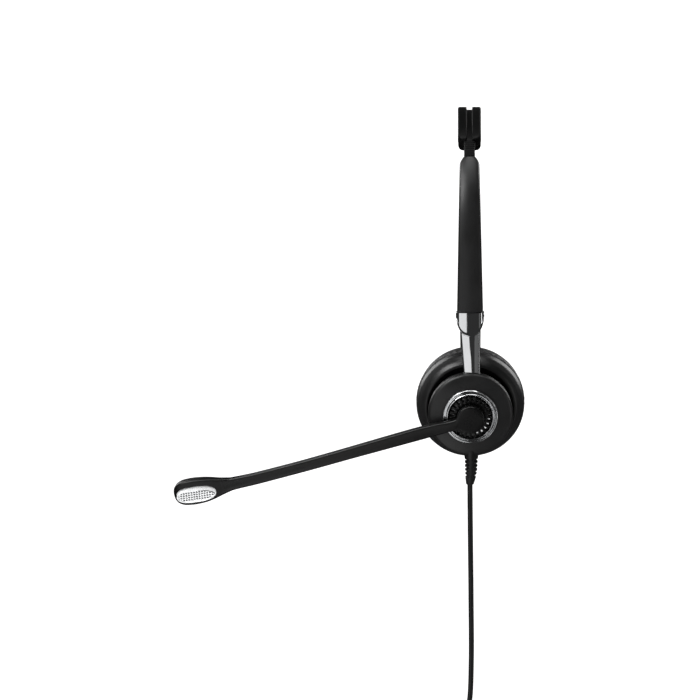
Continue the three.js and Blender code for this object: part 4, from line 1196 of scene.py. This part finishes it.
# A thin plate whose outline steps back at each contact, narrowing a little at its end.
def makeTongue(p, hang):
    low, high = (np.array(corner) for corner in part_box("connector_contacts"))
    w, t = (high[0] - low[0]) / 2, (high[1] - low[1]) / 2
    outline = [(-w, -t), (-w, t)]
    for i in range(p["contacts"]):
        c = (i - (p["contacts"] - 1) / 2) * p["contactPitch"]
        outline += [(c + x * mm, t + y * mm) for x, y in ((-0.45, 0), (-0.4, -0.35), (0.4, -0.35), (0.45, 0))]
    outline += [(w, t), (w, -t)]
    radii = np.array([0.4, 0.4] + [0.08] * (4 * p["contacts"]) + [0.4, 0.4]) * mm
    z = np.concatenate([[high[2], high[2] - 0.3 * mm], np.linspace(high[2] - 0.8 * mm, low[2] + 0.6 * mm, 6),
                        [low[2] + 0.15 * mm, low[2]]])
    shrink = 1 - 0.12 * np.clip(1 - (z - low[2]) / (0.5 * mm), 0, 1)
    at = np.stack([0 * z, 0 * z + hang, z], -1)
    outlines = rounded(outline, radii) * shrink[:, None, None]
    piece = swept("contact_tongue", (at, xAxis, np.array([0, 1.0, 0])), outlines, 45)
    finishPiece(piece, "left_housing", "brass", "connector_contacts")
    return piece


cordHang = cordExit[1] + cord["sway"]
connectorGrip, contactTongue = makeGrip(connector, cordHang), makeTongue(connector, cordHang)


# tie: a woven strap once round the hank, its loose end laid over itself
tie = {"height": 6 * mm, "wall": 0.9 * mm, "overlap": 25, "rise": 14, "letIn": 0.3 * mm, "corner": 4.2 * mm}


def makeTie(p):
    low, high = (np.array(corner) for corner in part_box("cord_tie"))
    centre, (w, t, _) = (low + high) / 2, (high - low) / 2 - p["wall"] / 2
    loop = resample(rounded(corners((w, -t), (w, t), (-w, t), (-w, -t)), p["corner"], 10), 140, True)
    path = np.vstack([loop, loop[:p["overlap"]]])
    along = np.gradient(path, axis=0)
    normal = np.stack([along[:, 1], -along[:, 0]], -1) / np.linalg.norm(along, axis=1, keepdims=True)
    normal *= np.sign((normal * path).sum(1, keepdims=True))
    # the end climbs by one thickness to lie over the start, which is let in a little
    place = np.arange(len(path))
    climb = np.clip((place - len(loop) + p["rise"]) / p["rise"], 0, 1)
    lift = 1.02 * p["wall"] * climb - p["letIn"] * (place < p["rise"])
    path = path + normal * lift[:, None]
    level = np.zeros((len(path), 1))
    h, k = p["height"] / 2, p["wall"] / 2
    outline = roundedBox(h, k, 0.3 * mm, 3)
    stations = (centre + np.hstack([path, level]), np.array([0, 0, 1.0]), np.hstack([normal, level]))
    piece = swept("woven_tie", stations, outline + level[..., None], 50)
    finishPiece(piece, "left_housing", "tie_fabric", "cord_tie")
    return piece


tiePiece = makeTie(tie)
print("cord pieces")


# floor and light
studio = {"floor": -0.7, "colour": (0.9, 0.9, 0.895), "glow": 0.72, "seen": 1.0, "diffuse": 0.32,
          "reflected": 0.03, "half": 6, "back": 3, "bend": 1.2, "target": (0, -0.05, -0.12)}


# A floor that runs up into a wall through a quarter round.
def makeStage(p):
    turn = np.linspace(0, math.pi / 2, 25)
    y = np.concatenate([[-p["half"]], p["back"] + p["bend"] * np.sin(turn), [p["back"] + p["bend"]]])
    z = np.concatenate([[0], p["bend"] * (1 - np.cos(turn)), [p["half"]]]) + p["floor"]
    x = np.array([-p["half"], p["half"]])
    grid = np.stack(np.broadcast_arrays(x, y[:, None], z[:, None]), -1)
    index = np.arange(2 * len(y)).reshape(-1, 2)
    faces = np.stack([index[:-1, 0], index[1:, 0], index[1:, 1], index[:-1, 1]], -1).tolist()
    floor = meshObject("studio_floor", grid, faces)
    material, nodes, links, shader = newMaterial("studio_floor")
    pale = tuple(0.99 * c for c in p["colour"])
    colour = patched(nodes, links, grain(nodes, links, 3, 2), pale, p["colour"])
    links.new(colour, shader.inputs["Base Color"])
    shader.inputs["Roughness"].default_value = 0.9
    shader.inputs["Specular IOR Level"].default_value = 0.1
    shader.inputs["Emission Color"].default_value = (1, 1, 1, 1)
    shader.inputs["Emission Strength"].default_value = p["glow"]
    floor.data.materials.append(material)
    floor.visible_glossy = False


# White to the eye, softer in diffuse light and nearly black in reflections, as a dark studio with soft boxes.
def makeWorld(p):
    world = bpy.data.worlds.new("studio")
    world.use_nodes = True
    nodes, links = world.node_tree.nodes, world.node_tree.links
    path = nodes.new("ShaderNodeLightPath")
    glossy, seen = nodes.new("ShaderNodeMapRange"), nodes.new("ShaderNodeMapRange")
    glossy.inputs["To Min"].default_value = p["diffuse"]
    glossy.inputs["To Max"].default_value = p["reflected"]
    seen.inputs["To Max"].default_value = p["seen"]
    links.new(path.outputs["Is Glossy Ray"], glossy.inputs["Value"])
    links.new(path.outputs["Is Camera Ray"], seen.inputs["Value"])
    links.new(glossy.outputs["Result"], seen.inputs["To Min"])
    nodes["Background"].inputs["Color"].default_value = (1, 1, 1, 1)
    links.new(seen.outputs["Result"], nodes["Background"].inputs["Strength"])
    bpy.context.scene.world = world


# A soft box by its bearing from the front, its height above level, distance, size and brightness.
def softBox(name, bearing, height, distance, width, tall, brightness):
    a, e = math.radians(bearing), math.radians(height)
    target = Vector(studio["target"])
    place = target + distance * Vector((math.sin(a) * math.cos(e), -math.cos(a) * math.cos(e), math.sin(e)))
    data = bpy.data.lights.new(name, "AREA")
    data.shape = "RECTANGLE"
    data.size, data.size_y = width, tall
    data.energy = brightness * math.pi * width * tall
    obj = bpy.data.objects.new(name, data)
    obj.location = place
    obj.rotation_euler = (target - place).to_track_quat("-Z", "Y").to_euler()
    obj.visible_camera = False
    bpy.context.scene.collection.objects.link(obj)


makeStage(studio)
makeWorld(studio)
# name, bearing, height, distance, width, tall side and brightness
softBoxes = [
    ("key", -48, 42, 1.4, 0.75, 0.6, 9),
    ("low_left", -28, -26, 0.9, 0.72, 0.36, 0.8),
    ("low_right_dim", 25, -26, 0.9, 0.26, 0.36, 0.09),
    ("under_left", -30, -55, 0.6, 0.3, 0.25, 1.2),
    ("sheen_left", -42, 6, 1.2, 0.4, 0.4, 2.2),
    ("right_strip", 66, -8, 1.1, 0.2, 0.8, 2.2),
    ("top", 10, 78, 1.3, 0.8, 0.8, 3),
    ("back_left", -140, 28, 1.4, 0.5, 0.9, 4),
    ("back_right", 140, 28, 1.4, 0.5, 0.9, 4),
]
for box in softBoxes:
    softBox(*box)
bpy.context.scene.view_settings.view_transform = "Standard"
print("stage")
